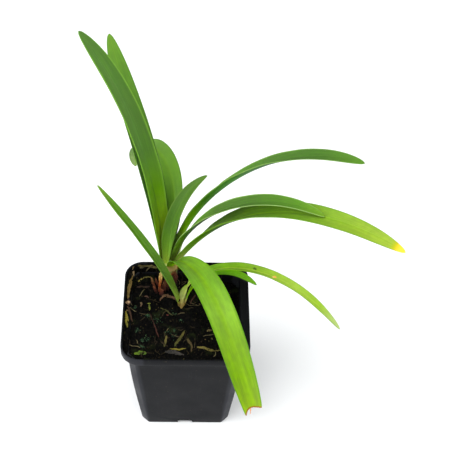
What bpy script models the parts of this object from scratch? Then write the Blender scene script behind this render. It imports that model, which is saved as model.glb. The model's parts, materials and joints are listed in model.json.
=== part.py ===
"""A young agapanthus in its square nursery pot, modelled in metres with +Z up.

The pot stands on z = 0 with its centre on the Z axis and its front facing -Y. The plant has a
main shoot and a small side shoot. Each leaf is a channelled strap that stands on its shoot.
"""

from collections import namedtuple
from math import comb, cos, pi, radians, sin, sqrt

import bmesh
import bpy
from mathutils import Vector

# Clearance between pieces that touch
GAP = 0.0003

# Pot: a 9 cm square nursery pot of thin moulded plastic
POT_HEIGHT = 0.095
RIM_WIDTH = 0.090
BASE_WIDTH = 0.065
BODY_TOP_WIDTH = 0.0806
BODY_BULGE = 0.0006
BAND_HEIGHT = 0.0060
SHOULDER_HEIGHT = 0.0008
LEDGE_THICKNESS = 0.0010
LEDGE = POT_HEIGHT - BAND_HEIGHT + LEDGE_THICKNESS
WALL = 0.0012
FLOOR = 0.0014
EDGE_ROUND = 0.0005
BAND_DRAFT = 0.0004
BODY_CHAMFER = 0.0053
RIM_CHAMFER = 0.0078
BODY_SOFTNESS = 0.0012
RIM_SOFTNESS = 0.0030
NOTCH_WIDTH = 0.0108
NOTCH_HEIGHT = 0.0033
NOTCH_DEPTH = 0.0080
NOTCH_ROUND = 0.0016

# Soil: higher along the left, back left and front walls, and sunken at the back right
SOIL_LEVEL = 0.0860
SOIL_BANK = 0.0020
SOIL_DIP = 0.0070
SOIL_LUMP = 0.0006
PAD_LEVEL = 0.0845

# Shoots: where each leaves the soil, where its top is, and its half widths there
Shoot = namedtuple("Shoot", "name foot foot_radii top top_radii height pad fades_at")
MAIN = Shoot("shoot_main", (-0.0115, 0.0322), (0.0064, 0.0062), (-0.0118, 0.0330), (0.0079, 0.0096),
             0.1083, 0.0108, 0.0145)
SIDE = Shoot("shoot_side", (-0.0036, 0.0114), (0.0026, 0.0024), (-0.0029, 0.0123), (0.0050, 0.0038),
             0.0918, 0.0045, 0.0080)
ROOT_LIFT = 0.00045

# Dry sheath: the fibrous remains of dead leaves round the left of the main shoot
SHEATH_FROM = 138
SHEATH_TO = 238
SHEATH_CLEAR = 0.0008
SHEATH_HEIGHT = 0.0105

# Leaves: angles are in degrees, and each row of them is blended smoothly from root to tip.
# heading turns anticlockwise from +X, pitch is above the horizontal, roll turns about the midrib,
# and fold is how far each half of the blade is raised from flat.
BLADE = 0.0007
STATION = 0.0080
LEVEL_LENGTH = 0.0050
CHANNEL = 1.6
TIP_FULLNESS = 0.6
Leaf = namedtuple("Leaf", "name shoot root length width heading pitch roll fold neck taper end hue")
LEAVES = [
    Leaf("leaf_left_tall_front", MAIN, (-0.0167, 0.0355), 0.193, 0.0175,
         (126, 149, 164), (85, 77, 74, 51), (-6, 4, -34), (24, 39, 6), 0.42, 5, 0.08, "#3F7D2B"),
    Leaf("leaf_left_tall_back", MAIN, (-0.0163, 0.0383), 0.174, 0.0178,
         (122, 140, 117), (84, 73, 65, 55), (-12, -8, -20), (24, 34, 4), 0.42, 5, 0.08, "#5F9A38"),
    Leaf("leaf_back_arched", MAIN, (-0.0120, 0.0407), 0.135, 0.0174,
         (52, 126, 144), (83, 64, -3, -103), (-14, -44, 35), (31, 33, 3), 0.42, 5, 0.08, "#4F8C33"),
    Leaf("leaf_centre_short", MAIN, (-0.0140, 0.0311), 0.089, 0.0133,
         (33, 26, 5), (86, 85, 73, 38), (7, 36, 10), (32, 25, 13), 0.50, 3, 0.08, "#5E9236"),
    Leaf("leaf_right_upper", MAIN, (-0.0082, 0.0378), 0.190, 0.0153,
         (5, -11, -27), (82, 53, 43, 2), (-39, -38, 18), (21, 39, 8), 0.62, 5, 0.08, "#437A2C"),
    Leaf("leaf_right_middle", MAIN, (-0.0085, 0.0339), 0.172, 0.0134,
         (-33, -28, -41), (82, 48, 48, 4), (-23, 24, -2), (16, 29, 14), 0.66, 5, 0.08, "#4B8230"),
    Leaf("leaf_right_long", MAIN, (-0.0071, 0.0318), 0.219, 0.0164,
         (-32, -35, -35), (65, 58, 27, -9), (-19, 10, 23), (20, 37, 5), 0.50, 5, 0.08, "#6F9C35"),
    Leaf("leaf_front_broad", MAIN, (-0.0102, 0.0261), 0.157, 0.0203,
         (-55, -74, -68), (65, 12, -25, -37), (-9, 3, 37), (18, 24, 17), 0.42, 4, 0.60, "#7AB32B"),
    Leaf("leaf_side_short", SIDE, (0.0002, 0.0131), 0.061, 0.0085,
         (49, 7, -30), (61, 18, -17, -25), (-9, -9, -3), (19, 38, -1), 0.50, 4, 0.08, "#7FAE4A"),
    Leaf("leaf_side_long", SIDE, (-0.0029, 0.0127), 0.147, 0.0097,
         (-6, -22, -39), (84, 21, -14, -36), (-1, -11, -9), (27, 37, 4), 0.50, 5, 0.08, "#86B043"),
    Leaf("leaf_side_left", SIDE, (-0.0061, 0.0114), 0.107, 0.0092,
         (159, 153, 146), (73, 53, 46, 43), (-4, 6, 10), (20, 37, 10), 0.50, 3, 0.08, "#3F7D2E"),
]
# The broad front leaf ends in a tear: how far its edge stands out, from the right margin to the left
TORN_LEAF = "leaf_front_broad"
TORN_EDGE = (0.0026, -0.0010, -0.0016, -0.0015, -0.0010, -0.0006, 0.0)

# Litter: dead scraps that lie on the soil or on the pot's ledge, as routes seen from above
SCRAP = 0.0006
SCRAP_HUMP = 0.0004
SOIL_REACH = 0.0018
Scrap = namedtuple("Scrap", "name width route hue")
LITTER = [
    Scrap("litter_tan_on_left_ledge", 0.0018,
          ((-0.0412, 0.0330), (-0.0415, 0.0240), (-0.0412, 0.0120)), "#8E7A50"),
    Scrap("litter_olive_on_back_ledge", 0.0020,
          ((-0.0350, 0.0413), (-0.0290, 0.0416), (-0.0220, 0.0413)), "#6D6A33"),
    Scrap("litter_stalk_on_left_ledge", 0.0012,
          ((-0.0417, -0.0010), (-0.0412, -0.0070), (-0.0415, -0.0130)), "#8D9A35"),
    Scrap("litter_olive_back_left", 0.0016,
          ((-0.0355, 0.0315), (-0.0300, 0.0358), (-0.0252, 0.0365)), "#7A7440"),
    Scrap("litter_brown_left", 0.0020,
          ((-0.0363, 0.0250), (-0.0310, 0.0282), (-0.0260, 0.0278)), "#6B4F33"),
    Scrap("litter_tan_arc", 0.0018,
          ((-0.0195, 0.0150), (-0.0182, 0.0192), (-0.0134, 0.0202), (-0.0092, 0.0182)), "#8C6B4E"),
    Scrap("litter_red_stem", 0.0011,
          ((-0.0262, 0.0044), (-0.0222, -0.0068), (-0.0189, -0.0182)), "#7A4534"),
    Scrap("litter_green_front_left", 0.0032,
          ((-0.0355, -0.0338), (-0.0315, -0.0328), (-0.0272, -0.0345)), "#8FA62A"),
    Scrap("litter_olive_front", 0.0016,
          ((-0.0138, -0.0170), (-0.0132, -0.0215), (-0.0146, -0.0262)), "#74712F"),
    Scrap("litter_olive_front_curved", 0.0017,
          ((-0.0013, -0.0126), (-0.0048, -0.0190), (-0.0074, -0.0252)), "#7E7A33"),
    Scrap("litter_yellow_front", 0.0015,
          ((-0.0109, -0.0283), (-0.0050, -0.0287), (0.0003, -0.0283)), "#A59A2C"),
    Scrap("litter_grey_front", 0.0028,
          ((-0.0143, -0.0318), (-0.0080, -0.0334), (-0.0017, -0.0331)), "#4A4642"),
    Scrap("litter_curl_front", 0.0015,
          ((0.0010, -0.0205), (0.0045, -0.0245), (0.0048, -0.0310)), "#6E6531"),
    Scrap("litter_root_front_right", 0.0013,
          ((0.0085, -0.0262), (0.0137, -0.0276), (0.0205, -0.0292), (0.0240, -0.0262)), "#8B8148"),
    Scrap("litter_red_bit", 0.0017, ((0.0151, -0.0121), (0.0187, -0.0094)), "#7C4A35"),
]


def clear_scene():
    for obj in list(bpy.data.objects):
        bpy.data.objects.remove(obj, do_unlink=True)


def collection(name):
    made = bpy.data.collections.new(name)
    bpy.context.scene.collection.children.link(made)
    return made


def linear(hue):
    """A sRGB colour such as #3F7D2B as Blender's linear RGBA."""
    parts = [int(hue[i:i + 2], 16) / 255 for i in (1, 3, 5)]
    return [c / 12.92 if c <= 0.04045 else ((c + 0.055) / 1.055) ** 2.4 for c in parts] + [1.0]


def material(name, hue, roughness):
    made = bpy.data.materials.new(name)
    made.use_nodes = True
    shader = made.node_tree.nodes["Principled BSDF"]
    shader.inputs["Base Color"].default_value = linear(hue)
    shader.inputs["Roughness"].default_value = roughness
    shader.inputs["Metallic"].default_value = 0.0
    made.diffuse_color = linear(hue)
    return made


def smooth(low, high, x):
    t = min(max((x - low) / (high - low), 0), 1)
    return t * t * (3 - 2 * t)


def mix(a, b, t):
    return a + (b - a) * t


def blend(values, t):
    """The values blended from first to last along t, as the control values of a Bezier curve."""
    n = len(values) - 1
    return sum(comb(n, i) * t**i * (1 - t) ** (n - i) * value for i, value in enumerate(values))


def shaped_grid(name, columns, rows, place, rolled=False):
    """A grid whose vertex at column i and row j is moved to place(i, j). A rolled grid joins its
    first and last columns into a tube and closes both ends."""
    mesh = bpy.data.meshes.new(name)
    bm = bmesh.new()
    bmesh.ops.create_grid(bm, x_segments=columns, y_segments=rows, size=1)
    for vertex in bm.verts:
        i = round((vertex.co.x + 1) / 2 * columns)
        j = round((vertex.co.y + 1) / 2 * rows)
        vertex.co = place(i % columns if rolled else i, j)
    if rolled:
        bmesh.ops.remove_doubles(bm, verts=bm.verts, dist=1e-6)
        bmesh.ops.holes_fill(bm, edges=bm.edges, sides=0)
    bmesh.ops.recalc_face_normals(bm, faces=bm.faces)
    bm.to_mesh(mesh)
    bm.free()
    return bpy.data.objects.new(name, mesh)


def finish(obj, into, hue, roughness, smooth_angle=40):
    """Puts a part in its collection, with its own material and smooth shading."""
    into.objects.link(obj)
    obj.data.materials.append(material(obj.name, hue, roughness))
    obj.data.shade_smooth()
    obj.data.set_sharp_from_angle(angle=radians(smooth_angle))
    return obj


# Pot

def outline(half, chamfer, softness, side_steps=1):
    """The pot's plan at one height: a square with chamfered corners whose two edges are softened,
    as points in order round it. Each flat side is split into side_steps."""
    points = []
    ease = softness * sin(radians(22.5)) / cos(radians(22.5))
    for quarter in range(4):
        turn = quarter * pi / 2
        start, end = Vector((half, half - chamfer)), Vector((half - chamfer, half))
        along = (end - start).normalized()
        corner = []
        for tip, before, after in ((start, Vector((0, 1)), along), (end, along, Vector((-1, 0)))):
            first, last = tip - before * ease, tip + after * ease
            corner += [first, (first + last + tip * 2) / 4, last]
        next_start = Vector((half - chamfer, half)) + Vector((-1, 0)) * ease
        side_end = Vector((-(half - chamfer), half)) - Vector((-1, 0)) * ease
        side = [next_start.lerp(side_end, step / side_steps) for step in range(1, side_steps)]
        for point in corner + side:
            points.append((point.x * cos(turn) - point.y * sin(turn),
                           point.x * sin(turn) + point.y * cos(turn)))
    return points


def body_half(z):
    """Half the pot body's outside width at a height: it widens upwards and bulges a little."""
    top = POT_HEIGHT - BAND_HEIGHT - SHOULDER_HEIGHT
    t = z / top
    return mix(BASE_WIDTH, BODY_TOP_WIDTH, t) / 2 + BODY_BULGE * sin(pi * min(max(t, 0), 1))


def inner_chamfer(chamfer, inset):
    return chamfer - (2 - sqrt(2)) * inset


def pot_profile():
    """The pot's section as (half width, height, chamfer, softness), up the outside and down the inside."""
    rim = RIM_WIDTH / 2
    under_band = POT_HEIGHT - BAND_HEIGHT
    body_top = under_band - SHOULDER_HEIGHT
    rim_inside = rim - WALL
    lower_third, upper_third = body_top / 3, body_top * 2 / 3
    rows = [(body_half(0) - EDGE_ROUND, 0, BODY_CHAMFER, BODY_SOFTNESS)]
    for z in (EDGE_ROUND, lower_third, upper_third, body_top):
        rows.append((body_half(z), z, BODY_CHAMFER, BODY_SOFTNESS))
    for half, z in ((rim - EDGE_ROUND, under_band), (rim, under_band + EDGE_ROUND),
                    (rim, POT_HEIGHT - EDGE_ROUND), (rim - EDGE_ROUND, POT_HEIGHT),
                    (rim_inside, POT_HEIGHT), (rim_inside - BAND_DRAFT / 2, POT_HEIGHT - EDGE_ROUND)):
        rows.append((half, z, RIM_CHAMFER, RIM_SOFTNESS))
    inside = inner_chamfer(RIM_CHAMFER, WALL)
    rows.append((rim_inside - BAND_DRAFT, LEDGE, inside, RIM_SOFTNESS))
    inside = inner_chamfer(BODY_CHAMFER, WALL)
    rows.append((body_half(body_top) - WALL, LEDGE, inside, BODY_SOFTNESS))
    for z in (upper_third, lower_third, FLOOR):
        rows.append((body_half(z) - WALL, z, inside, BODY_SOFTNESS))
    return rows


def build_pot(parts, cutters):
    profile = pot_profile()
    rings = [[(x, y, z) for x, y in outline(half, chamfer, softness)]
             for half, z, chamfer, softness in profile]
    pot = shaped_grid("pot", len(rings[0]), len(rings) - 1, lambda i, j: rings[j][i], rolled=True)
    finish(pot, parts, "#303237", 0.45, smooth_angle=25)
    for quarter in range(4):
        cut = pot.modifiers.new(f"drain {quarter + 1}", "BOOLEAN")
        cut.operation = "DIFFERENCE"
        cut.solver = "EXACT"
        cut.object = drain_cutter(quarter, cutters)


def drain_cutter(quarter, cutters):
    """A bar with rounded top edges that cuts a drain notch under the middle of one side."""
    mesh = bpy.data.meshes.new(f"drain_cutter_{quarter + 1}")
    bm = bmesh.new()
    bmesh.ops.create_cube(bm, size=1)
    for vertex in bm.verts:
        vertex.co = (vertex.co.x * NOTCH_WIDTH, vertex.co.y * NOTCH_DEPTH, vertex.co.z * 2 * NOTCH_HEIGHT)
    upper = [edge for edge in bm.edges
             if all(vertex.co.z > 0 for vertex in edge.verts)
             and abs(edge.verts[0].co.x - edge.verts[1].co.x) < 1e-9]
    bmesh.ops.bevel(bm, geom=upper, offset=NOTCH_ROUND, segments=3, profile=0.5, affect="EDGES")
    bm.to_mesh(mesh)
    bm.free()
    cutter = bpy.data.objects.new(mesh.name, mesh)
    cutters.objects.link(cutter)
    turn = quarter * pi / 2
    reach = BASE_WIDTH / 2 - NOTCH_DEPTH / 4
    cutter.location = (reach * sin(turn), -reach * cos(turn), 0)
    cutter.rotation_euler = (0, 0, turn)
    cutter.hide_render = True
    cutter.display_type = "WIRE"
    return cutter


# Soil

def soil_height(x, y):
    """Height of the soil's surface: banks, a dip, soft lumps and a flat pad under each shoot."""
    bank = max(smooth(0.024, 0.036, -x), smooth(0.026, 0.037, -y) * (1 - smooth(0.005, 0.030, x)))
    dip = smooth(0.004, 0.034, x) * mix(0.55, 1.0, smooth(-0.030, 0.030, y))
    edge = 1 - 0.6 * smooth(0.030, 0.038, max(abs(x), abs(y)))
    lumps = (1.5 * sin(x / 0.0031 + 1.3) * cos(y / 0.0037 - 0.4) + sin((x + y) / 0.0026)
             + 0.8 * cos((x - 1.7 * y) / 0.0034 + 2.0))
    height = SOIL_LEVEL + SOIL_BANK * bank - SOIL_DIP * dip + SOIL_LUMP * lumps * edge
    for shoot in (MAIN, SIDE):
        away = sqrt((x - shoot.foot[0]) ** 2 + (y - shoot.foot[1]) ** 2)
        height = mix(PAD_LEVEL, height, smooth(shoot.pad, shoot.fades_at, away))
    return height


def build_soil(parts):
    side_rows, top_rows, side_steps = 4, 13, 8
    bottom = FLOOR + GAP
    chamfer = inner_chamfer(BODY_CHAMFER, WALL + GAP)

    def inside(z):
        return outline(body_half(z) - WALL - GAP, chamfer, BODY_SOFTNESS, side_steps)

    brim = inside(SOIL_LEVEL)

    def place(i, j):
        edge_height = soil_height(*brim[i])
        if j <= side_rows:
            z = mix(bottom, edge_height, j / side_rows)
            x, y = inside(z)[i]
            return x, y, z
        inward = (j - side_rows) / top_rows
        x, y = (c * (1 - inward) for c in inside(edge_height)[i])
        return x, y, soil_height(x, y)

    soil = shaped_grid("soil", len(brim), side_rows + top_rows, place, rolled=True)
    finish(soil, parts, "#1B1612", 0.95, smooth_angle=60)


# Shoots

def build_shoot(parts, shoot, hue, folds):
    """The short stem of wrapped leaf bases: an oval that widens upwards, with shallow folds."""
    columns, rows = 28, 6
    bottom = PAD_LEVEL + GAP

    def place(i, j):
        turn, t = 2 * pi * i / columns, j / rows
        swell = 1 + 0.035 * cos(folds * turn + 1.1 + 1.6 * t) * (1 - t) ** 0.5
        spread = smooth(0, 1.15, t) / smooth(0, 1.15, 1)
        radii = [mix(a, b, spread) * swell for a, b in zip(shoot.foot_radii, shoot.top_radii)]
        centre = [mix(a, b, t) for a, b in zip(shoot.foot, shoot.top)]
        return (centre[0] + radii[0] * cos(turn), centre[1] + radii[1] * sin(turn),
                mix(bottom, shoot.height, t))

    stem = shaped_grid(shoot.name, columns, rows, place, rolled=True)
    finish(stem, parts, hue, 0.6)


def build_dry_sheath(parts):
    """A ragged curved flap that stands on the soil beside the main shoot and opens outwards."""
    columns, rows = 14, 5
    bottom = PAD_LEVEL + GAP

    def place(i, j):
        u, t = i / columns, j / rows
        turn = radians(mix(SHEATH_FROM, SHEATH_TO, u))
        ragged = 0.55 + 0.45 * sin(pi * u) + 0.14 * cos(9.0 * u + 0.6)
        lean = SHEATH_CLEAR + 0.0022 * t * t
        return (MAIN.foot[0] + (MAIN.foot_radii[0] * 1.05 + lean) * cos(turn),
                MAIN.foot[1] + (MAIN.foot_radii[1] * 1.05 + lean) * sin(turn),
                bottom + SHEATH_HEIGHT * ragged * t)

    flap = shaped_grid("dry_sheath", columns, rows, place)
    thicken(flap, BLADE)
    finish(flap, parts, "#6E3B28", 0.85)


def thicken(obj, thickness):
    """Gives a sheet its thickness. It is split into triangles first, so both faces fold alike."""
    split = obj.modifiers.new("split", "TRIANGULATE")
    split.quad_method = "FIXED"
    wall = obj.modifiers.new("thickness", "SOLIDIFY")
    wall.thickness = thickness
    wall.offset = 0.0


# Leaves

def leaf_axes(leaf, t):
    """The blade's directions at t: along the midrib, across to its left, and up from its face."""
    heading, pitch, roll = (radians(blend(row, t)) for row in (leaf.heading, leaf.pitch, leaf.roll))
    along = Vector((cos(pitch) * cos(heading), cos(pitch) * sin(heading), sin(pitch)))
    across = Vector((-sin(heading), cos(heading), 0))
    up = along.cross(across)
    return along, across * cos(roll) + up * sin(roll), up * cos(roll) - across * sin(roll)


def leaf_width(leaf, t):
    """Blade width: narrow at the neck, full from the middle on, and tapered at the tip."""
    opening = leaf.neck + (1 - leaf.neck) * sin(pi / 2 * min(t / 0.45, 1))
    return leaf.width * opening * (leaf.end + (1 - leaf.end) * (1 - t**leaf.taper) ** TIP_FULLNESS)


def leaf_midrib(leaf, rows):
    """Points along the midrib, summed in small steps from the root."""
    steps = 6
    point = Vector((*leaf.root, leaf.shoot.height + ROOT_LIFT))
    points = [point.copy()]
    for row in range(rows):
        for step in range(steps):
            t = (row + (step + 0.5) / steps) / rows
            point += leaf_axes(leaf, t)[0] * leaf.length / rows / steps
        points.append(point.copy())
    return points


def build_leaf(parts, leaf):
    columns = 6 if leaf.shoot is MAIN else 4
    rows = max(10, round(leaf.length / STATION))
    midrib = leaf_midrib(leaf, rows)

    def place(i, j):
        t, side = j / rows, 2 * i / columns - 1
        along, across, up = leaf_axes(leaf, t)
        half = leaf_width(leaf, t) / 2
        fold = radians(blend(leaf.fold, t))
        off = across * (half * side * cos(fold)) + up * (half * abs(side) ** CHANNEL * sin(fold))
        off.z *= smooth(0, LEVEL_LENGTH, t * leaf.length)
        if leaf.name == TORN_LEAF and j == rows:
            off += along * TORN_EDGE[i]
        return midrib[j] + off

    blade = shaped_grid(leaf.name, columns, rows, place)
    thicken(blade, BLADE)
    finish(blade, parts, leaf.hue, 0.42, smooth_angle=60)


# Litter

def resting_height(x, y):
    """Height of what carries a scrap: the pot's ledge near the rim, and the soil's high spots elsewhere."""
    if max(abs(x), abs(y)) > BODY_TOP_WIDTH / 2 - WALL:
        return LEDGE
    nearby = ((0, 0), (SOIL_REACH, 0), (-SOIL_REACH, 0), (0, SOIL_REACH), (0, -SOIL_REACH))
    return max(soil_height(x + dx, y + dy) for dx, dy in nearby)


def build_scrap(parts, scrap):
    columns, rows = 2, 8
    route = [Vector(point) for point in scrap.route]

    def place(i, j):
        t, side = j / rows, i / columns - 0.5
        ends = 0.35 + 0.65 * sin(pi * t) ** 0.6
        here = Vector([blend([point[axis] for point in route], t) for axis in (0, 1)])
        ahead = Vector([blend([point[axis] for point in route], min(t + 0.01, 1)) for axis in (0, 1)])
        behind = Vector([blend([point[axis] for point in route], max(t - 0.01, 0)) for axis in (0, 1)])
        along = (ahead - behind).normalized()
        spot = here + Vector((-along.y, along.x)) * (side * scrap.width * ends)
        lift = GAP + SCRAP / 2 + SCRAP_HUMP * sin(pi * t)
        return spot.x, spot.y, resting_height(spot.x, spot.y) + lift

    strip = shaped_grid(scrap.name, columns, rows, place)
    thicken(strip, SCRAP)
    finish(strip, parts, scrap.hue, 0.85)


def build():
    clear_scene()
    parts = collection("agapanthus_in_pot")
    cutters = collection("cutters")
    cutters.hide_render = True
    build_pot(parts, cutters)
    build_soil(parts)
    build_shoot(parts, MAIN, "#B79C78", folds=5)
    build_shoot(parts, SIDE, "#B4BC78", folds=3)
    build_dry_sheath(parts)
    for leaf in LEAVES:
        build_leaf(parts, leaf)
    for scrap in LITTER:
        build_scrap(parts, scrap)


build()
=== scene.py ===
# %% [markdown]
# A young agapanthus in its square nursery pot
#
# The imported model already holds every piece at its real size: the pot, the soil, two shoots, eleven
# strap leaves and some dead scraps. This script keeps all of that in place and gives it its looks:
# finer leaves with their veins, crumbly peat, a moulded pot, soft light and a camera.
# Everything is in metres, with +Z up, and the pot stands on z = 0.

import json
import random
from collections import namedtuple
from math import comb, cos, pi, radians, sin, tan

import bpy
import numpy as np
from mathutils import Euler, Matrix, Quaternion, Vector, noise

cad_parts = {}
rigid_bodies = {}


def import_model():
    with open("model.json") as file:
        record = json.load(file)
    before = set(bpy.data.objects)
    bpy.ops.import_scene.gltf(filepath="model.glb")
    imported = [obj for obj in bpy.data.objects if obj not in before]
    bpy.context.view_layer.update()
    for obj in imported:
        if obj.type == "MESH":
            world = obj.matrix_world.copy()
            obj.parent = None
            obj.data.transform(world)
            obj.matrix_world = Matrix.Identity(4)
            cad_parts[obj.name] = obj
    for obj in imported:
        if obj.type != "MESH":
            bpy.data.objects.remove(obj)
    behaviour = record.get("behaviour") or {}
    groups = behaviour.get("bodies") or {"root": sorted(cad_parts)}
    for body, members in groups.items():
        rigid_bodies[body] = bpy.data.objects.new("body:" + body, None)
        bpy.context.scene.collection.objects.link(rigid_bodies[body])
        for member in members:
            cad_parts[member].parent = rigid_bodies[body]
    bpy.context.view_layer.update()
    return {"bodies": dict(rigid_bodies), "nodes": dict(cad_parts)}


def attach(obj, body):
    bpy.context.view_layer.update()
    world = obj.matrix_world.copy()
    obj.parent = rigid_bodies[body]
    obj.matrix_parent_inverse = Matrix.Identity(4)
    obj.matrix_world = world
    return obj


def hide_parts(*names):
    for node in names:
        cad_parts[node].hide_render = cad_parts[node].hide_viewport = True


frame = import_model()
belongs = set(frame["nodes"].values()) | set(frame["bodies"].values())
for stray in set(bpy.data.objects) - belongs:
    bpy.data.objects.remove(stray)
bpy.ops.object.select_all(action="DESELECT")

# %% [markdown]
# The camera
#
# The photo looks down on the plant from the front, nearly along +Y, through a rather long lens. A
# camera could be aimed with a constraint. Here its place is worked out from two angles and a
# distance, because the same angles then give the small roll of the photo too.

# %% Camera
AZIMUTH = radians(-2.6)
ELEVATION = radians(46.8)
ROLL = radians(2.6)
DISTANCE = 0.720
AIM = Vector((0.0257, 0, 0.1823))
PHOTO_SIDE = 452
FOCAL_LENGTH_IN_PIXELS = 1100
SENSOR_WIDTH = 36

back = Vector((sin(AZIMUTH) * cos(ELEVATION), -cos(AZIMUTH) * cos(ELEVATION), sin(ELEVATION)))
bpy.ops.object.camera_add(location=AIM + back * DISTANCE)
camera = bpy.context.object
camera.rotation_euler = ((-back).to_track_quat("-Z", "Y") @ Quaternion((0, 0, 1), ROLL)).to_euler()
camera.data.sensor_width = SENSOR_WIDTH
camera.data.lens = SENSOR_WIDTH * FOCAL_LENGTH_IN_PIXELS / PHOTO_SIDE
camera.data.clip_start = 0.01
bpy.context.scene.camera = camera
print(f"camera {camera.data.lens:.1f} mm at {tuple(round(c, 3) for c in camera.location)}")

# %% [markdown]
# Colours and nodes
#
# Colours are written as the sRGB hex values that a paint program shows. Blender's shaders work on
# linear light, so one function turns the one into the other. A second function adds a shader node
# with its settings and links. The others say what the finishes here are built of: stains, shades and
# spots on a colour, and relief. So a whole material reads as a short list of steps.

# %% Colour and node helpers
COLOUR_A, COLOUR_B, MIXED = 6, 7, 2


def linear(hue):
    """A sRGB colour such as #3F7D2B as Blender's linear RGBA."""
    parts = [int(hue[i:i + 2], 16) / 255 for i in (1, 3, 5)]
    return [c / 12.92 if c <= 0.04045 else ((c + 0.055) / 1.055) ** 2.4 for c in parts] + [1.0]


def add(tree, kind, inputs=None, stops=(), **settings):
    """Adds a node. Each input gets a number, a colour as hex, or another node's output, and a
    colour ramp gets its stops as (place, hex) pairs."""
    node = tree.nodes.new("ShaderNode" + kind)
    for name, value in settings.items():
        setattr(node, name, value)
    for name, value in (inputs or {}).items():
        if isinstance(value, bpy.types.NodeSocket):
            tree.links.new(value, node.inputs[name])
        else:
            node.inputs[name].default_value = linear(value) if isinstance(value, str) else value
    for index, (place, hue) in enumerate(stops):
        if index < 2:
            stop = node.color_ramp.elements[index]
            stop.position = place
        else:
            stop = node.color_ramp.elements.new(place)
        stop.color = linear(hue)
    return node


def new_material(name, roughness, ior=1.5, specular=0.5):
    """A material with its Principled shader, whose constant values are set here."""
    made = bpy.data.materials.new(name)
    made.use_nodes = True
    shader = made.node_tree.nodes["Principled BSDF"]
    shader.inputs["Roughness"].default_value = roughness
    shader.inputs["IOR"].default_value = ior
    shader.inputs["Specular IOR Level"].default_value = specular
    return made, made.node_tree, shader


def stained(tree, colour, over, pattern, spread, cover, curve="LINEAR"):
    """Lays another colour over a colour. The share that it covers goes from the first number of
    cover to the second while the pattern goes through its spread."""
    share = add(tree, "MapRange", {"Value": pattern, 1: spread[0], 2: spread[1], 3: cover[0], 4: cover[1]},
                interpolation_type=curve).outputs[0]
    return add(tree, "Mix", {0: share, COLOUR_A: colour, COLOUR_B: over}, data_type="RGBA").outputs[MIXED]


def shaded(tree, colour, pattern, spread, levels):
    """Multiplies a colour by a level that changes while the pattern goes through its spread."""
    level = add(tree, "MapRange", {"Value": pattern, 1: spread[0], 2: spread[1], 3: levels[0], 4: levels[1]})
    return add(tree, "Mix", {0: 1.0, COLOUR_A: colour, COLOUR_B: level.outputs[0]}, data_type="RGBA",
               blend_type="MULTIPLY").outputs[MIXED]


def spotted(tree, colour, hue, spot, place, radius, ragged):
    """Puts a small spot round a place on a colour. A ragged pattern makes its edge uneven."""
    away = add(tree, "VectorMath", {0: spot, 1: place}, operation="DISTANCE").outputs["Value"]
    shift = add(tree, "Math", {0: ragged, 1: radius, 2: -radius / 2}, operation="MULTIPLY_ADD").outputs[0]
    away = add(tree, "Math", {0: away, 1: shift}, operation="ADD").outputs[0]
    return stained(tree, colour, hue, away, (radius * 0.5, radius), (1.0, 0.0), "SMOOTHSTEP")


def finished(tree, shader, colour, *reliefs):
    """Gives the shader its colour and its bumps. Each relief is a pattern, a depth in metres and a
    strength."""
    tree.links.new(colour, shader.inputs["Base Color"])
    below = {}
    for pattern, depth, strength in reliefs:
        bump = add(tree, "Bump", {"Height": pattern, "Distance": depth, "Strength": strength, **below})
        below = {"Normal": bump.outputs[0]}
    tree.links.new(below["Normal"], shader.inputs["Normal"])


def grainy(tree, shader, colour, place, size, levels, depth):
    """Finishes a shader with a grain of a real size, which shades the colour and stands out from it."""
    grain = add(tree, "TexNoise", {"Vector": place, "Scale": 1 / size, "Detail": 3.0}).outputs[0]
    finished(tree, shader, shaded(tree, colour, grain, (0.3, 0.7), levels), (grain, depth, 1.0))


print("linear", [round(c, 3) for c in linear("#3F7D2B")])

# %% [markdown]
# Floor, world and lights
#
# The photo is a product shot: a plant on white, lit softly from all round, with hardly a shadow. A
# pale sweep of floor under a pale sky gives that. One large lamp from the upper left shapes the
# leaves, and two low ones at the sides catch the chamfered corners of the dark pot.

# %% Studio
FLOOR_SIDE = 30.0
AREA_LIGHTS = {
    "key": ((-0.60, -0.35, 1.45), 1.3, 24.0),
    "fill": ((0.95, -0.50, 0.95), 1.1, 7.0),
    "left_strip": ((-0.90, -0.20, 0.15), 0.5, 6.5),
    "right_strip": ((0.95, -0.20, 0.15), 0.5, 8.0),
}

studio = bpy.data.worlds.new("pale_studio")
studio.use_nodes = True
studio.node_tree.nodes["Background"].inputs["Color"].default_value = linear("#FCFDFF")
studio.node_tree.nodes["Background"].inputs["Strength"].default_value = 0.50
bpy.context.scene.world = studio
bpy.context.scene.view_settings.view_transform = "Standard"

bpy.ops.mesh.primitive_plane_add(size=FLOOR_SIDE)
floor = bpy.context.object
floor.name = "studio_floor"
paper, tree, shader = new_material("matt_white_paper", roughness=0.9, specular=0.1)
shader.inputs["Base Color"].default_value = linear("#F4F5F6")
floor.data.materials.append(paper)

for name, (place, size, power) in AREA_LIGHTS.items():
    bpy.ops.object.light_add(type="AREA", location=place)
    lamp = bpy.context.object
    lamp.name = name
    lamp.data.size = size
    lamp.data.energy = power
    lamp.rotation_euler = (Vector((0, 0, 0.09)) - lamp.location).to_track_quat("-Z", "Y").to_euler()
print(f"{len(AREA_LIGHTS)} lamps")

# %% [markdown]
# Working on a mesh
#
# A few small tools are used again and again: reading and writing all of a mesh's points at once,
# applying a modifier, selecting edges or faces by their place, and handing a finished piece over.

# %% Mesh helpers
def points_of(piece):
    flat = np.empty(len(piece.data.vertices) * 3, np.float32)
    piece.data.vertices.foreach_get("co", flat)
    return flat.reshape(-1, 3).astype(float)


def put_points(piece, points):
    piece.data.vertices.foreach_set("co", np.asarray(points, np.float32).ravel())
    piece.data.update()


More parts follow.
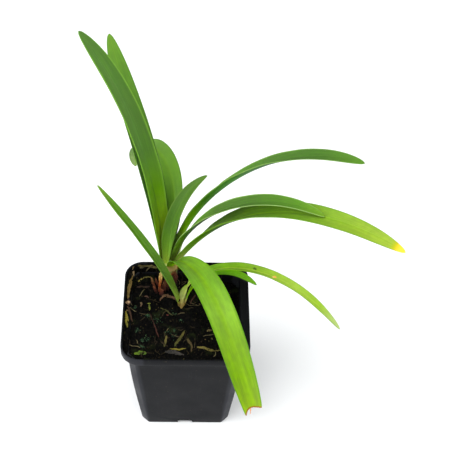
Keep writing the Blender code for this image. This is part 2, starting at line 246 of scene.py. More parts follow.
def mark(piece, name, values):
    """Keeps one number a point on the mesh, which a material can read by its name."""
    layer = piece.data.attributes.new(name, "FLOAT", "POINT")
    layer.data.foreach_set("value", np.asarray(values, np.float32))


def modify(piece, kind, **settings):
    """Adds a modifier and applies it."""
    bpy.context.view_layer.objects.active = piece
    step = piece.modifiers.new(kind.lower(), kind)
    for name, value in settings.items():
        setattr(step, name, value)
    bpy.ops.object.modifier_apply(modifier=step.name)


def pick(piece, kind, rule):
    """Opens edit mode with only those edges or faces selected whose corner points pass the rule."""
    bpy.ops.object.mode_set(mode="EDIT")
    bpy.ops.mesh.select_mode(type=kind)
    bpy.ops.mesh.select_all(action="DESELECT")
    bpy.ops.object.mode_set(mode="OBJECT")
    points = points_of(piece)
    for part in piece.data.edges if kind == "EDGE" else piece.data.polygons:
        part.select = bool(rule(points[list(part.vertices)]))
    bpy.ops.object.mode_set(mode="EDIT")


def join(pieces, name):
    bpy.ops.object.select_all(action="DESELECT")
    for piece in pieces:
        piece.select_set(True)
    bpy.context.view_layer.objects.active = pieces[0]
    bpy.ops.object.join()
    pieces[0].name = pieces[0].data.name = name
    return pieces[0]


def hand_over(piece, finish, slot, *replaced, smooth_angle=50):
    """Gives a piece its finish and smooth shading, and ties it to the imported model."""
    bpy.ops.object.select_all(action="DESELECT")
    piece.select_set(True)
    bpy.context.view_layer.objects.active = piece
    bpy.ops.object.shade_smooth_by_angle(angle=radians(smooth_angle))
    piece.data.materials.clear()
    piece.data.materials.append(finish)
    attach(piece, "root")
    if replaced:
        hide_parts(*replaced)
    bpy.ops.object.select_all(action="DESELECT")
    triangles = sum(len(face.vertices) - 2 for face in piece.data.polygons)
    print(f"{piece.name}: {triangles} triangles")
    return piece


def soft(low, high, x):
    """0 below low, 1 above high, and a smooth step between them."""
    t = np.clip((x - low) / (high - low), 0, 1)
    return t * t * (3 - 2 * t)


def bezier(values, t):
    """The values blended from first to last along t, as the control values of a Bezier curve."""
    n = len(values) - 1
    return sum(comb(n, i) * t**i * (1 - t) ** (n - i) * value for i, value in enumerate(values))


def smoothed(row):
    """The mean of each number in a row and the four on either side of it."""
    return np.convolve(np.pad(row, 4, mode="edge"), np.ones(9) / 9, mode="valid")


@np.vectorize
def noise_at(x, y, z):
    """Smooth noise at a place, or at many places at once when it gets arrays."""
    return noise.noise(Vector((x, y, z)))


# %% [markdown]
# Thin sheets
#
# Leaves, dead scraps and papery sheaths are all thin sheets. Each starts as a grid primitive whose
# points are laid on rows of places worked out beforehand. Solidify then gives it a wall that thins
# towards the margins, as a leaf's does. The grid's own UV map, from margin to margin and from root
# to tip, lets a material follow the leaf.

# %% Sheet helper
def sheet(name, places, thickness, along, margin=0.5, **row_marks):
    """A thin sheet on places[row, column], with the UV value along[row], closed on all sides. Each
    row mark holds one number a row, which all the points of that row keep under its name."""
    rows, columns = places.shape[0] - 1, places.shape[1] - 1
    bpy.ops.mesh.primitive_grid_add(x_subdivisions=columns, y_subdivisions=rows, size=2)
    piece = bpy.context.object
    piece.name = piece.data.name = name
    flat = points_of(piece)
    column = np.rint((flat[:, 0] + 1) / 2 * columns).astype(int)
    row = np.rint((flat[:, 1] + 1) / 2 * rows).astype(int)
    put_points(piece, places[row, column])
    corner = np.empty(len(piece.data.loops), np.int32)
    piece.data.loops.foreach_get("vertex_index", corner)
    uv = np.stack([column / columns, np.asarray(along)[row]], axis=-1)[corner]
    piece.data.uv_layers[0].data.foreach_set("uv", uv.astype(np.float32).ravel())
    flesh = piece.vertex_groups.new(name="flesh")
    for index in range(len(flat)):
        away = abs(2 * column[index] / columns - 1)
        flesh.add([index], 1 - (1 - margin) * away**1.5, "REPLACE")
    modify(piece, "SOLIDIFY", thickness=thickness, offset=0.0, vertex_group="flesh")
    mark(piece, "under", np.repeat((0, 1), len(flat)))
    for mark_name, values in row_marks.items():
        mark(piece, mark_name, np.tile(np.asarray(values)[row], 2))
    return piece


# %% [markdown]
# The leaves
#
# An agapanthus leaf is a strap: narrow at its neck, full from the middle on, and channelled, with a
# keel on its underside. It is drawn by its midrib, which turns smoothly from root to tip. The
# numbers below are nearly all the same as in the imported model, so each leaf lies on its own solid.
# heading turns anticlockwise from +X, pitch is above the horizontal, roll turns about the midrib,
# and fold is how far each half is raised. All angles are in degrees. A sheath's numbers say how deep
# it goes, how far round the shoot, how clear of it, and how far it narrows on its way down.

# %% Leaf table
Shoot = namedtuple("Shoot", "foot foot_radius top height pad fades_at")
MAIN = Shoot((-0.0115, 0.0322), 0.0058, (-0.0118, 0.0330), 0.1083, 0.0080, 0.0145)
SIDE = Shoot((-0.0036, 0.0114), 0.0017, (-0.0029, 0.0123), 0.0918, 0.0030, 0.0080)
PAD_LEVEL = 0.0845
ROOT_LIFT = 0.00045
LEVEL_LENGTH = 0.0050
CHANNEL = 1.6
FULL_FROM = 0.45
TIP_FULLNESS = 0.6
FINE_END = 0.025
TORN_END = 0.60
TORN_LEAF = "leaf_front_broad"
YELLOWING_LEAF = "leaf_right_long"
SHOOTS = (MAIN, SIDE)

Sheath = namedtuple("Sheath", "depth half_angle clear pinch turn", defaults=(None,))
Leaf = namedtuple("Leaf", "name shoot root length width neck taper heading pitch roll fold sheath slot")
LEAVES = [
    Leaf("leaf_left_tall_front", MAIN, (-0.0167, 0.0355), 0.193, 0.0175, 0.42, 5,
         (126, 149, 164), (85, 77, 74, 51), (-6, 4, -34), (24, 39, 6),
         Sheath(0.0110, 55, 0.0005, 0.9), "leaf_dark"),
    Leaf("leaf_left_tall_back", MAIN, (-0.0163, 0.0383), 0.174, 0.0178, 0.42, 5,
         (122, 140, 117), (84, 73, 65, 55), (-12, -8, -20), (24, 34, 4),
         Sheath(0.0100, 55, 0.0003, 0.9), "leaf_light"),
    Leaf("leaf_back_arched", MAIN, (-0.0120, 0.0407), 0.135, 0.0174, 0.42, 5,
         (52, 126, 144), (83, 64, -3, -103), (-14, -44, 35), (31, 33, 3),
         Sheath(0.0160, 60, 0.0004, 1.0), "leaf_mid"),
    Leaf("leaf_centre_short", MAIN, (-0.0140, 0.0311), 0.089, 0.0133, 0.50, 3,
         (33, 26, 5), (86, 85, 73, 38), (7, 36, 10), (32, 25, 13),
         Sheath(0.0030, 20, 0.0002, 0.1), "leaf_mid"),
    Leaf("leaf_right_upper", MAIN, (-0.0082, 0.0378), 0.190, 0.0153, 0.62, 5,
         (5, -11, -27), (82, 53, 43, 2), (-39, -38, 18), (21, 39, 8),
         Sheath(0.0120, 50, 0.0003, 1.0), "leaf_dark"),
    Leaf("leaf_right_middle", MAIN, (-0.0085, 0.0339), 0.172, 0.0134, 0.66, 5,
         (-33, -28, -41), (82, 48, 48, 4), (-23, 24, -2), (16, 29, 14),
         Sheath(0.0080, 40, 0.0002, 1.0), "leaf_dark"),
    Leaf(YELLOWING_LEAF, MAIN, (-0.0071, 0.0318), 0.219, 0.0164, 0.50, 5,
         (-32, -35, -35), (65, 58, 27, -9), (-19, 10, 23), (20, 37, 5),
         Sheath(0.0058, 46, 0.0003, 0.9), "leaf_yellowing"),
    Leaf(TORN_LEAF, MAIN, (-0.0102, 0.0261), 0.157, 0.0203, 0.42, 4,
         (-55, -74, -68), (65, 12, -25, -37), (-9, 3, 37), (18, 24, 17),
         Sheath(0.0066, 42, 0.0008, 0.72), "leaf_bright"),
    Leaf("leaf_side_short", SIDE, (0.0002, 0.0131), 0.061, 0.0085, 0.34, 4,
         (49, 7, -30), (61, 18, -17, -25), (-9, -9, -3), (19, 38, -1),
         Sheath(0.0068, 50, 0.0002, 0.8), "leaf_light"),
    Leaf("leaf_side_long", SIDE, (-0.0029, 0.0127), 0.147, 0.0097, 0.50, 5,
         (-6, -22, -39), (84, 21, -14, -36), (-1, -11, -9), (27, 37, 4),
         Sheath(0.0072, 75, 0.0005, 0.7, -80), "leaf_light"),
    Leaf("leaf_side_left", SIDE, (-0.0061, 0.0114), 0.107, 0.0092, 0.50, 3,
         (159, 153, 146), (73, 53, 46, 43), (-4, 6, 10), (20, 37, 10),
         Sheath(0.0068, 60, 0.0003, 0.8), "leaf_dark"),
]
print(f"{len(LEAVES)} leaves, the longest {max(leaf.length for leaf in LEAVES) * 1000:.0f} mm")

# %% [markdown]
# From numbers to a blade
#
# Three directions travel with the midrib: along it, across the blade to its left, and up from its
# face. Summing the first in small steps draws the midrib. The broad front leaf ends in a tear, so
# its last millimetres follow a ragged line. Below its root each blade runs on as a thin sheath that
# wraps the shoot, so the leaves grow out of one another as on the real plant.

# %% Leaf shape
BLADE_COLUMNS = 24
ROW_STEP = 0.0011
BLADE_THICKNESS = 0.00085
MIDRIB_GROOVE = 0.00022
MARGIN_WAVE = 0.00035
WAVE_LENGTH = 0.016
TEAR_REACH = 0.0060
BASE_RISE = 0.0042
BASE_RISE_ENDS = 0.0450
BASE_TWIST = {"leaf_side_long": (-80, 0.022), "leaf_side_short": (-54, 0.030)}
TEAR_ROUGHNESS = 0.0005
TORN_EDGE = (0.0026, -0.0010, -0.0016, -0.0015, -0.0010, -0.0006, 0.0)


def leaf_axes(leaf, t):
    heading, pitch, roll = (np.radians(bezier(row, t)) for row in (leaf.heading, leaf.pitch, leaf.roll))
    twist, twist_ends = BASE_TWIST.get(leaf.name, (0, 0.01))
    roll = roll + radians(twist) * (1 - soft(0, twist_ends, t * leaf.length))
    along = np.stack([np.cos(pitch) * np.cos(heading), np.cos(pitch) * np.sin(heading), np.sin(pitch)], -1)
    across = np.stack([-np.sin(heading), np.cos(heading), 0 * heading], -1)
    up = np.cross(along, across)
    c, s = np.cos(roll)[:, None], np.sin(roll)[:, None]
    return along, across * c + up * s, up * c - across * s


def leaf_width(leaf, t):
    opening = leaf.neck + (1 - leaf.neck) * np.sin(pi / 2 * np.minimum(t / FULL_FROM, 1))
    end = TORN_END if leaf.name == TORN_LEAF else FINE_END
    return leaf.width * opening * (end + (1 - end) * (1 - t**leaf.taper) ** TIP_FULLNESS)


def leaf_midrib(leaf, rows):
    steps = 6
    t = (np.arange(rows * steps) + 0.5) / (rows * steps)
    walked = np.cumsum(leaf_axes(leaf, t)[0] * leaf.length / rows / steps, axis=0)
    root = np.array([*leaf.root, leaf.shoot.height + ROOT_LIFT])
    return np.vstack([root, root + walked[steps - 1::steps]])


def blade_places(leaf, rows):
    """Places of the blade, one row of columns for each step from its root to its tip."""
    t = np.arange(rows + 1) / rows
    side = np.linspace(-1, 1, BLADE_COLUMNS + 1)
    along, across, up = leaf_axes(leaf, t)
    half = leaf_width(leaf, t)[:, None] / 2
    fold = np.radians(bezier(leaf.fold, t))[:, None]
    seed = leaf.length * 1000
    wave = noise_at(side * 1.5 + seed, (t * leaf.length / WAVE_LENGTH)[:, None], 0.0)
    lift = half * np.abs(side) ** CHANNEL * np.sin(fold)
    lift = lift + MARGIN_WAVE * wave * np.abs(side) ** 2 * soft(0.02, 0.2, t)[:, None]
    lift = lift - MIDRIB_GROOVE * np.exp(-(side / 0.10) ** 2) * soft(0.0, 0.2, 1 - t)[:, None]
    off = across[:, None] * (half * side * np.cos(fold))[..., None] + up[:, None] * lift[..., None]
    off[..., 2] *= soft(0, LEVEL_LENGTH, t * leaf.length)[:, None]
    if leaf.name == TORN_LEAF:
        tear = np.interp(side, np.linspace(-1, 1, len(TORN_EDGE)), TORN_EDGE)
        tear += TEAR_ROUGHNESS * noise_at(side * 7.0, 4.2, 0.0)
        pull = soft(leaf.length - TEAR_REACH, leaf.length, t * leaf.length)[:, None] * tear
        off += along[:, None] * pull[..., None]
        off[..., 2] += BASE_RISE * (1 - soft(0, BASE_RISE_ENDS, t * leaf.length))[:, None]
    return leaf_midrib(leaf, rows)[:, None] + off


def sheath_places(leaf, root_row):
    """Places of the sheath, from its lower edge up to just below the blade's root."""
    depth, half_angle, clear, pinch, turned = leaf.sheath
    rows = max(4, round(depth / ROW_STEP))
    q = (np.arange(rows, 0, -1) / rows)[:, None]
    side = np.linspace(-1, 1, BLADE_COLUMNS + 1)
    shoot = leaf.shoot
    fallen = q * depth / (shoot.height - PAD_LEVEL)
    out = Vector(leaf.root) - Vector(shoot.top)
    middle = np.arctan2(out.y, out.x) if turned is None else radians(turned)
    tangent = np.array([-np.sin(middle), np.cos(middle)])
    across = root_row[-1, :2] - root_row[0, :2]
    sign = 1.0 if across @ tangent > 0 else -1.0
    radius = out.length + (shoot.foot_radius + clear - out.length) * fallen
    narrowed = 1 + (pinch - 1) * q
    turn = middle + sign * side * radians(half_angle) * narrowed
    centre = np.array(shoot.top) + (np.array(shoot.foot) - np.array(shoot.top)) * fallen[..., None]
    ring = centre + radius[..., None] * np.stack([np.cos(turn), np.sin(turn)], -1)
    blend = soft(0, 0.55, q)[..., None]
    plan = root_row[None, :, :2] * (1 - blend) + ring * blend
    ragged = noise_at(side * 3.1, depth * 900, 1.7)
    z = root_row[None, :, 2] - q * depth * (1 - 0.35 * np.abs(side) ** 2 + 0.22 * ragged)
    return np.concatenate([plan, z[..., None]], axis=-1), q


def model_leaf(leaf):
    rows = round(leaf.length / ROW_STEP)
    blade = blade_places(leaf, rows)
    sheath, depth_share = sheath_places(leaf, blade[0])
    t = np.concatenate([-depth_share[:, 0] * leaf.sheath.depth / leaf.length, np.arange(rows + 1) / rows])
    wrapped = np.concatenate([depth_share[:, 0], np.zeros(rows + 1)])
    return sheet(leaf.name + "_blade", np.concatenate([sheath, blade]), BLADE_THICKNESS, t, sheath=wrapped)


# %% [markdown]
# The skin of a leaf
#
# A living leaf has a waxy cuticle over parallel veins, so it shines softly, and its colour runs
# along it: pale where it was shaded at the base, deep green further up, and lighter or yellowing at
# the tip. One colour ramp along each leaf holds that. On leaf_right_upper, leaf_right_middle, the
# yellowing leaf and leaf_side_long the ramp starts paler still, as painted light that lifts the
# shade at the crown. Over it come the veins as fine streaks, a lighter or darker midrib and margin,
# faint mottling, and a paler underside. An image could show the same, but a procedural skin stays
# sharp from any distance.

# %% Leaf colours
Skin = namedtuple("Skin", "ramp midrib midrib_width margin streak sheath_top sheath_foot")
SKINS = {
    "leaf_left_tall_front": Skin(
        ("#C8E068", "#ACD44C", "#6CA626", "#245E16", "#1C5416", "#1E5A18", "#205A1C"),
        "#327020", 0.16, "#98CC60", "#5A8C34", "#5F8A2C", "#8A8A48"),
    "leaf_left_tall_back": Skin(
        ("#7C9850", "#4C7A38", "#4A7C32", "#508234", "#568A3C", "#5E9040", "#74A446"),
        "#7FAE4A", 0.16, "#558330", "#86B64C", "#7A9440", "#8A8A48"),
    "leaf_back_arched": Skin(
        ("#8A9F4A", "#507E20", "#4A7E1C", "#6CA03C", "#6C9A4C", "#84AA64", "#B0C48C"),
        "#86B848", 0.30, "#4E7C28", "#7DAE4A", "#7A9440", "#8A8A48"),
    "leaf_centre_short": Skin(
        ("#A4B850", "#6C9830", "#407414", "#2A620A", "#205608", "#20540C", "#40682C"),
        "#5C8C2E", 0.16, "#80A052", "#5E9030", "#C0C468", "#C6C06C"),
    # Painted light: the first stop is paler than the leaf's own pale base, to lift the shade that falls on it
    # at the crown.
    "leaf_right_upper": Skin(
        ("#F8FCAC", "#88B84A", "#427620", "#4C8636", "#2C6026", "#286220", "#5A9034"),
        "#4A7E30", 0.12, "#9CBE74", "#508830", "#7C8C3C", "#8A8A48"),
    # Painted light: the first two stops are paler than the leaf's own pale base, to lift the shade that falls
    # on it at the crown.
    "leaf_right_middle": Skin(
        ("#F0F8A0", "#B8E070", "#70A440", "#4C7C2C", "#205014",
         "#1E5214", "#265C18", "#3C7420", "#5C9434", "#90BE4C"),
        "#4A8030", 0.10, "#B4D48C", "#58903A", "#7C8C3C", "#8A8A48"),
    # Painted light: the first stop is paler than the leaf's own pale base, to lift the shade that falls on it
    # at the crown.
    YELLOWING_LEAF: Skin(
        ("#C8D080", "#7CA450", "#386418", "#38620E", "#5C9026", "#82B046", "#A8CA56", "#C8E06A"),
        "#92C040", 0.10, "#7EA840", "#94C040", "#7F7A34", "#7E6A3A"),
    TORN_LEAF: Skin(
        ("#6E9A38", "#86B852", "#86BA4C", "#8CC452", "#9ECC5C", "#88B43E", "#82B02E", "#9CBC42"),
        "#A7D64A", 0.34, "#5F9A20", "#B4DC58", "#8E9048", "#C0A67A"),
    "leaf_side_short": Skin(
        ("#A8C868", "#88B840", "#70B832", "#6CB430", "#74BC36", "#74BC3A", "#84C444"),
        "#8CC050", 0.16, "#5A8A28", "#8EC450", "#C8CC80", "#A88E5C"),
    # Painted light: the first two stops are paler than the leaf's own pale base, to lift the shade that falls
    # in its channel at the base.
    "leaf_side_long": Skin(
        ("#F8FCB4", "#D0EC7C", "#76AC3C", "#8ABE40", "#BEE468", "#CEEE78", "#B4D85C", "#D8E4AC"),
        "#D8EA7C", 0.20, "#7FA840", "#C4E25C", "#DADC90", "#B09A68"),
    "leaf_side_left": Skin(
        ("#84943E", "#4E7016", "#467616", "#447C18", "#4C8424", "#609632", "#94BE58"),
        "#68983A", 0.16, "#86A85A", "#6A9C3A", "#9CA450", "#9A8458"),
}
GREEN_ENDS = 0.955
YELLOW_STARTS = 0.972
YELLOW_TIP = "#F8DF42"
BLEACHED_TIP = "#E8CC3C"
TORN_BROWN = "#A8622E"
PALE_UNDERSIDE = "#9CBB74"
MARKS = {
    "leaf_side_long": ((0.612, 0.50, 0.0017, "#D8A450"), (0.607, 0.42, 0.0012, "#E0BC6A"),
                       (0.507, 0.71, 0.0011, "#46601E"), (0.514, 0.69, 0.0009, "#46601E")),
    "leaf_side_short": ((0.582, 0.83, 0.0008, "#D8D494"),),
}

# %% [markdown]
# The material reads three things: how far across and along the blade a point is, from the UV map,
# whether it is on the underside, and whether it is on the sheath. The veins are 0.9 mm apart, about
# what such a leaf shows, and they are drawn a little stronger than life so that they can be seen.

# %% Leaf material
VEIN_SPACING = 0.0009
STREAK_LENGTH = 0.030
MOTTLE_SIZE = 0.0040
VEIN_HEIGHT = 0.00012
LEAF_SATURATION = 1.18
LEAF_DEPTH = 0.60
PATCHINESS = {TORN_LEAF: 0.30, YELLOWING_LEAF: 0.12, "leaf_side_long": 0.13}


def leaf_skin(leaf):
    """The cuticle of a living strap leaf: a satin wax over parallel veins."""
    look = SKINS[leaf.name]
    skin, tree, shader = new_material("waxy_cuticle_" + leaf.name, roughness=0.46, ior=1.45, specular=0.09)
    blade = add(tree, "UVMap").outputs["UV"]
    spread = add(tree, "SeparateXYZ", {0: blade})
    across, along = spread.outputs["X"], spread.outputs["Y"]
    centred = add(tree, "Math", {0: across, 1: 2.0, 2: -1.0}, operation="MULTIPLY_ADD").outputs[0]
    away = add(tree, "Math", {0: centred}, operation="ABSOLUTE").outputs[0]
    steps = [(index / (len(look.ramp) - 1), hue) for index, hue in enumerate(look.ramp)]
    if leaf.name == YELLOWING_LEAF:
        steps = [(place * GREEN_ENDS, hue) for place, hue in steps] + [(YELLOW_STARTS, YELLOW_TIP)]
    colour = add(tree, "ValToRGB", {"Fac": along}, stops=steps).outputs["Color"]

    veins = (leaf.width / VEIN_SPACING, leaf.length / STREAK_LENGTH, 0.0)
    lane = add(tree, "VectorMath", {0: blade, 1: veins, 2: (0.0, 0.0, leaf.length * 1000)},
               operation="MULTIPLY_ADD").outputs[0]
    streaks = add(tree, "TexNoise", {"Vector": lane, "Scale": 1.0, "Detail": 2.5}).outputs[0]
    colour = stained(tree, colour, look.streak, streaks, (0.42, 0.78), (0.0, 0.42), "SMOOTHSTEP")
    colour = shaded(tree, colour, streaks, (0.15, 0.45), (0.86, 1.0))
    wide = add(tree, "Mapping", {"Vector": lane, "Scale": (0.16, 1.1, 1.0)}).outputs[0]
    patches = add(tree, "TexNoise", {"Vector": wide, "Scale": 1.0, "Detail": 5.0, "Roughness": 0.62})
    strength = PATCHINESS.get(leaf.name, 0.07)
    colour = shaded(tree, colour, patches.outputs[0], (0.32, 0.68), (1 - strength, 1 + strength))
    colour = stained(tree, colour, look.midrib, away, (0.0, look.midrib_width), (0.55, 0.0), "SMOOTHSTEP")
    colour = stained(tree, colour, look.margin, away, (0.84, 1.0), (0.0, 0.75), "SMOOTHSTEP")

    spot = add(tree, "TexCoord").outputs["Object"]
    mottle = add(tree, "TexNoise", {"Vector": spot, "Scale": 1 / MOTTLE_SIZE, "Detail": 4.0}).outputs[0]
    colour = shaded(tree, colour, mottle, (0.3, 0.7), (0.90, 1.08))
    under = add(tree, "Attribute", attribute_name="under").outputs["Fac"]
    colour = stained(tree, colour, PALE_UNDERSIDE, under, (0.0, 1.0), (0.0, 0.30))
    wrapped = add(tree, "Attribute", attribute_name="sheath").outputs["Fac"]
    base = add(tree, "ValToRGB", {"Fac": wrapped}, stops=[(0.0, look.sheath_top), (0.75, look.sheath_foot)])
    colour = stained(tree, colour, base.outputs["Color"], wrapped, (0.0, 0.12), (0.0, 1.0))

    if leaf.name == TORN_LEAF:
        colour = stained(tree, colour, TORN_BROWN, along, (0.992, 0.998), (0.0, 1.0), "SMOOTHSTEP")
    colour = add(tree, "HueSaturation", {"Saturation": LEAF_SATURATION, "Value": LEAF_DEPTH,
                                         "Color": colour}).outputs[0]
    if leaf.name in MARKS:
        flat = add(tree, "VectorMath", {0: blade, 1: (leaf.width, leaf.length, 0.0)}, operation="MULTIPLY")
        for share, beside, radius, hue in MARKS[leaf.name]:
            place = (beside * leaf.width, share * leaf.length, 0)
            colour = spotted(tree, colour, hue, flat.outputs[0], place, radius, mottle)
    if leaf.name == YELLOWING_LEAF:
        colour = stained(tree, colour, BLEACHED_TIP, along, (0.962, 0.984), (0.0, 0.9), "SMOOTHSTEP")
    finished(tree, shader, colour, (streaks, VEIN_HEIGHT, 1.0), (mottle, VEIN_HEIGHT, 0.6))
    shader.inputs["Subsurface Weight"].default_value = 0.12
    shader.inputs["Subsurface Scale"].default_value = 0.0015
    shader.inputs["Subsurface Radius"].default_value = (0.5, 1.0, 0.2)
    return skin


for leaf in LEAVES:
    hand_over(model_leaf(leaf), leaf_skin(leaf), leaf.slot, leaf.name)

# %% [markdown]
# Where the broad leaf tore, one dry vein still hangs from its end. It is a narrow strip along a short
# curve, wider at its root, that starts just inside the torn edge.

# %% Torn fibre
TORN_FIBRE = ((0.0421, -0.0962, 0.1170), (0.0423, -0.0988, 0.1156), (0.0421, -0.0994, 0.1128))
FIBRE_ROOT_WIDTH = 0.0011
FIBRE_ROWS = 14
FIBRE_THICKNESS = 0.0003

t = np.linspace(0, 1, FIBRE_ROWS + 1)
spine = np.stack([bezier([point[axis] for point in TORN_FIBRE], t) for axis in range(3)], -1)
half = FIBRE_ROOT_WIDTH / 2 * (1 - 0.65 * t) * (1 + 0.35 * np.sin(t * 17))
places = spine[:, None] + (half[:, None] * np.linspace(-1, 1, 5))[..., None] * np.array([0.93, 0.1, 0.36])
torn_fibre = sheet("torn_fibre", places, FIBRE_THICKNESS, t)
dry_vein, tree, shader = new_material("dry_leaf_vein", roughness=0.7, ior=1.4)
shader.inputs["Base Color"].default_value = linear("#D09470")
hand_over(torn_fibre, dry_vein, "leaf_bright")

# %% [markdown]
# The pot
#
# A nursery pot is injection moulded from black polypropylene: a thin square tub with chamfered
# corners, a deeper band at the rim and a ledge inside it. It is modelled as one would by hand: a
# cube is tapered, its upright edges are bevelled twice, once for the chamfer and once to soften it,
# a second one makes the band, and a bridge between them makes the shoulder. Solidify then turns the
# skin into a wall.

# %% Pot shape
POT_HEIGHT = 0.095
RIM_WIDTH = 0.090
BASE_WIDTH = 0.065
BODY_TOP_WIDTH = 0.0806
BODY_BULGE = 0.0006
BAND_HEIGHT = 0.0060
SHOULDER_HEIGHT = 0.0008
WALL = 0.0011
BODY_CHAMFER = 0.0053
RIM_CHAMFER = 0.0078
BODY_SOFTNESS = 0.0022
RIM_SOFTNESS = 0.0120
MOULD_ROUND = 0.00045
BODY_TOP = POT_HEIGHT - BAND_HEIGHT - SHOULDER_HEIGHT
BAND_BOTTOM = POT_HEIGHT - BAND_HEIGHT


def upright(points):
    return abs(points[0][2] - points[-1][2]) > 0.004


def level(z):
    return lambda points: bool(np.all(np.abs(points[:, 2] - z) < 1e-5))


def tub(name, bottom, top, bottom_width, top_width, chamfer, softness):
    """An open-topped skin with chamfered and softened corners between two heights."""
    height = top - bottom
    bpy.ops.mesh.primitive_cube_add(size=1, location=(0, 0, (top + bottom) / 2),
                                    scale=(top_width, top_width, height))
    piece = bpy.context.object
    piece.name = piece.data.name = name
    bpy.ops.object.transform_apply(location=True, rotation=False, scale=True)
    pick(piece, "FACE", level(bottom))
    taper = bottom_width / top_width
    bpy.ops.transform.resize(value=(taper, taper, 1), center_override=(0, 0, bottom))
    bpy.ops.object.mode_set(mode="OBJECT")
    pick(piece, "EDGE", upright)
    bpy.ops.mesh.bevel(offset=chamfer, segments=1, affect="EDGES")
    bpy.ops.object.mode_set(mode="OBJECT")
    pick(piece, "EDGE", upright)
    bpy.ops.mesh.bevel(offset=softness * tan(radians(22.5)), segments=4, affect="EDGES")
    bpy.ops.object.mode_set(mode="OBJECT")
    pick(piece, "FACE", level(top))
    bpy.ops.mesh.delete(type="FACE")
    bpy.ops.object.mode_set(mode="OBJECT")
    return piece


body = tub("pot_moulded", 0, BODY_TOP, BASE_WIDTH, BODY_TOP_WIDTH, BODY_CHAMFER, BODY_SOFTNESS)
bpy.ops.object.mode_set(mode="EDIT")
for share in np.arange(1, 8) / 8:
    bpy.ops.mesh.select_all(action="SELECT")
    bpy.ops.mesh.bisect(plane_co=(0, 0, BODY_TOP * share), plane_no=(0, 0, 1))
bpy.ops.object.mode_set(mode="OBJECT")
points = points_of(body)
bulge = BODY_BULGE * np.sin(pi * points[:, 2] / BODY_TOP) / (BASE_WIDTH / 2)
points[:, :2] *= 1 + bulge[:, None]
put_points(body, points)

band = tub("pot_band", BAND_BOTTOM, POT_HEIGHT, RIM_WIDTH, RIM_WIDTH, RIM_CHAMFER, RIM_SOFTNESS)
pick(band, "FACE", level(BAND_BOTTOM))
bpy.ops.mesh.delete(type="FACE")
bpy.ops.object.mode_set(mode="OBJECT")
body = join([body, band], "pot_moulded")
pick(body, "EDGE", lambda points: level(BODY_TOP)(points) or level(BAND_BOTTOM)(points))
bpy.ops.mesh.bridge_edge_loops()
bpy.ops.mesh.select_all(action="SELECT")
bpy.ops.mesh.normals_make_consistent(inside=False)
bpy.ops.object.mode_set(mode="OBJECT")
modify(body, "SOLIDIFY", thickness=WALL, offset=-1.0, use_even_offset=True)
modify(body, "BEVEL", width=MOULD_ROUND, segments=3, limit_method="ANGLE", angle_limit=radians(35))
print(f"pot skin: {len(body.data.polygons)} faces")

# %% [markdown]
# Four drain notches are cut under the middle of each side. Each cutter is a bar with rounded upper
# edges, made anew for each side and turned to it, and a Boolean takes all four out at once.

# %% Drain notches
NOTCH_WIDTH = 0.0108
NOTCH_HEIGHT = 0.0033
NOTCH_DEPTH = 0.0080
NOTCH_ROUND = 0.0016

cutters = []
reach = BASE_WIDTH / 2 - NOTCH_DEPTH / 4
for quarter in range(4):
    bpy.ops.mesh.primitive_cube_add(size=1, location=(0, -reach, 0),
                                    scale=(NOTCH_WIDTH, NOTCH_DEPTH, NOTCH_HEIGHT * 2))
    cutter = bpy.context.object
    bpy.ops.object.transform_apply(location=True, rotation=False, scale=True)
    pick(cutter, "EDGE", lambda points: points[:, 2].min() > 0 and np.ptp(points[:, 0]) < 1e-6)
    bpy.ops.mesh.bevel(offset=NOTCH_ROUND, segments=5, affect="EDGES")
    bpy.ops.object.mode_set(mode="OBJECT")
    cutter.rotation_euler = (0, 0, quarter * pi / 2)
    bpy.ops.object.transform_apply(location=False, rotation=True, scale=False)
    cutters.append(cutter)
cutter = join(cutters, "drain_notches")
modify(body, "BOOLEAN", operation="DIFFERENCE", solver="EXACT", object=cutter)
bpy.data.objects.remove(cutter)
print(f"pot with notches: {len(body.data.polygons)} faces")

# %% [markdown]
# Moulded polypropylene is a satin near-black. Its colour is never quite even: dust and dried peat
# water dull it in soft clouds, fine scuffs run down it, and a few grains of soil stick to it. The
# chamfered corners are painted paler, a painted highlight where they turn towards the low side
# lamps. The mould's own spark-eroded grain, about 0.4 mm wide, breaks the reflections.

# %% Pot material
GRAIN_SIZE = 0.0004
CLOUD_SIZE = 0.018
SCUFF_WIDTH = 0.0012
STUCK_SOIL_SIZE = 0.0022
SPECKS = (((-0.0240, -0.0365, 0.0110), 0.0016, "#6E604C"),
          ((0.0080, -0.0370, 0.0240), 0.0014, "#4A4F50"))


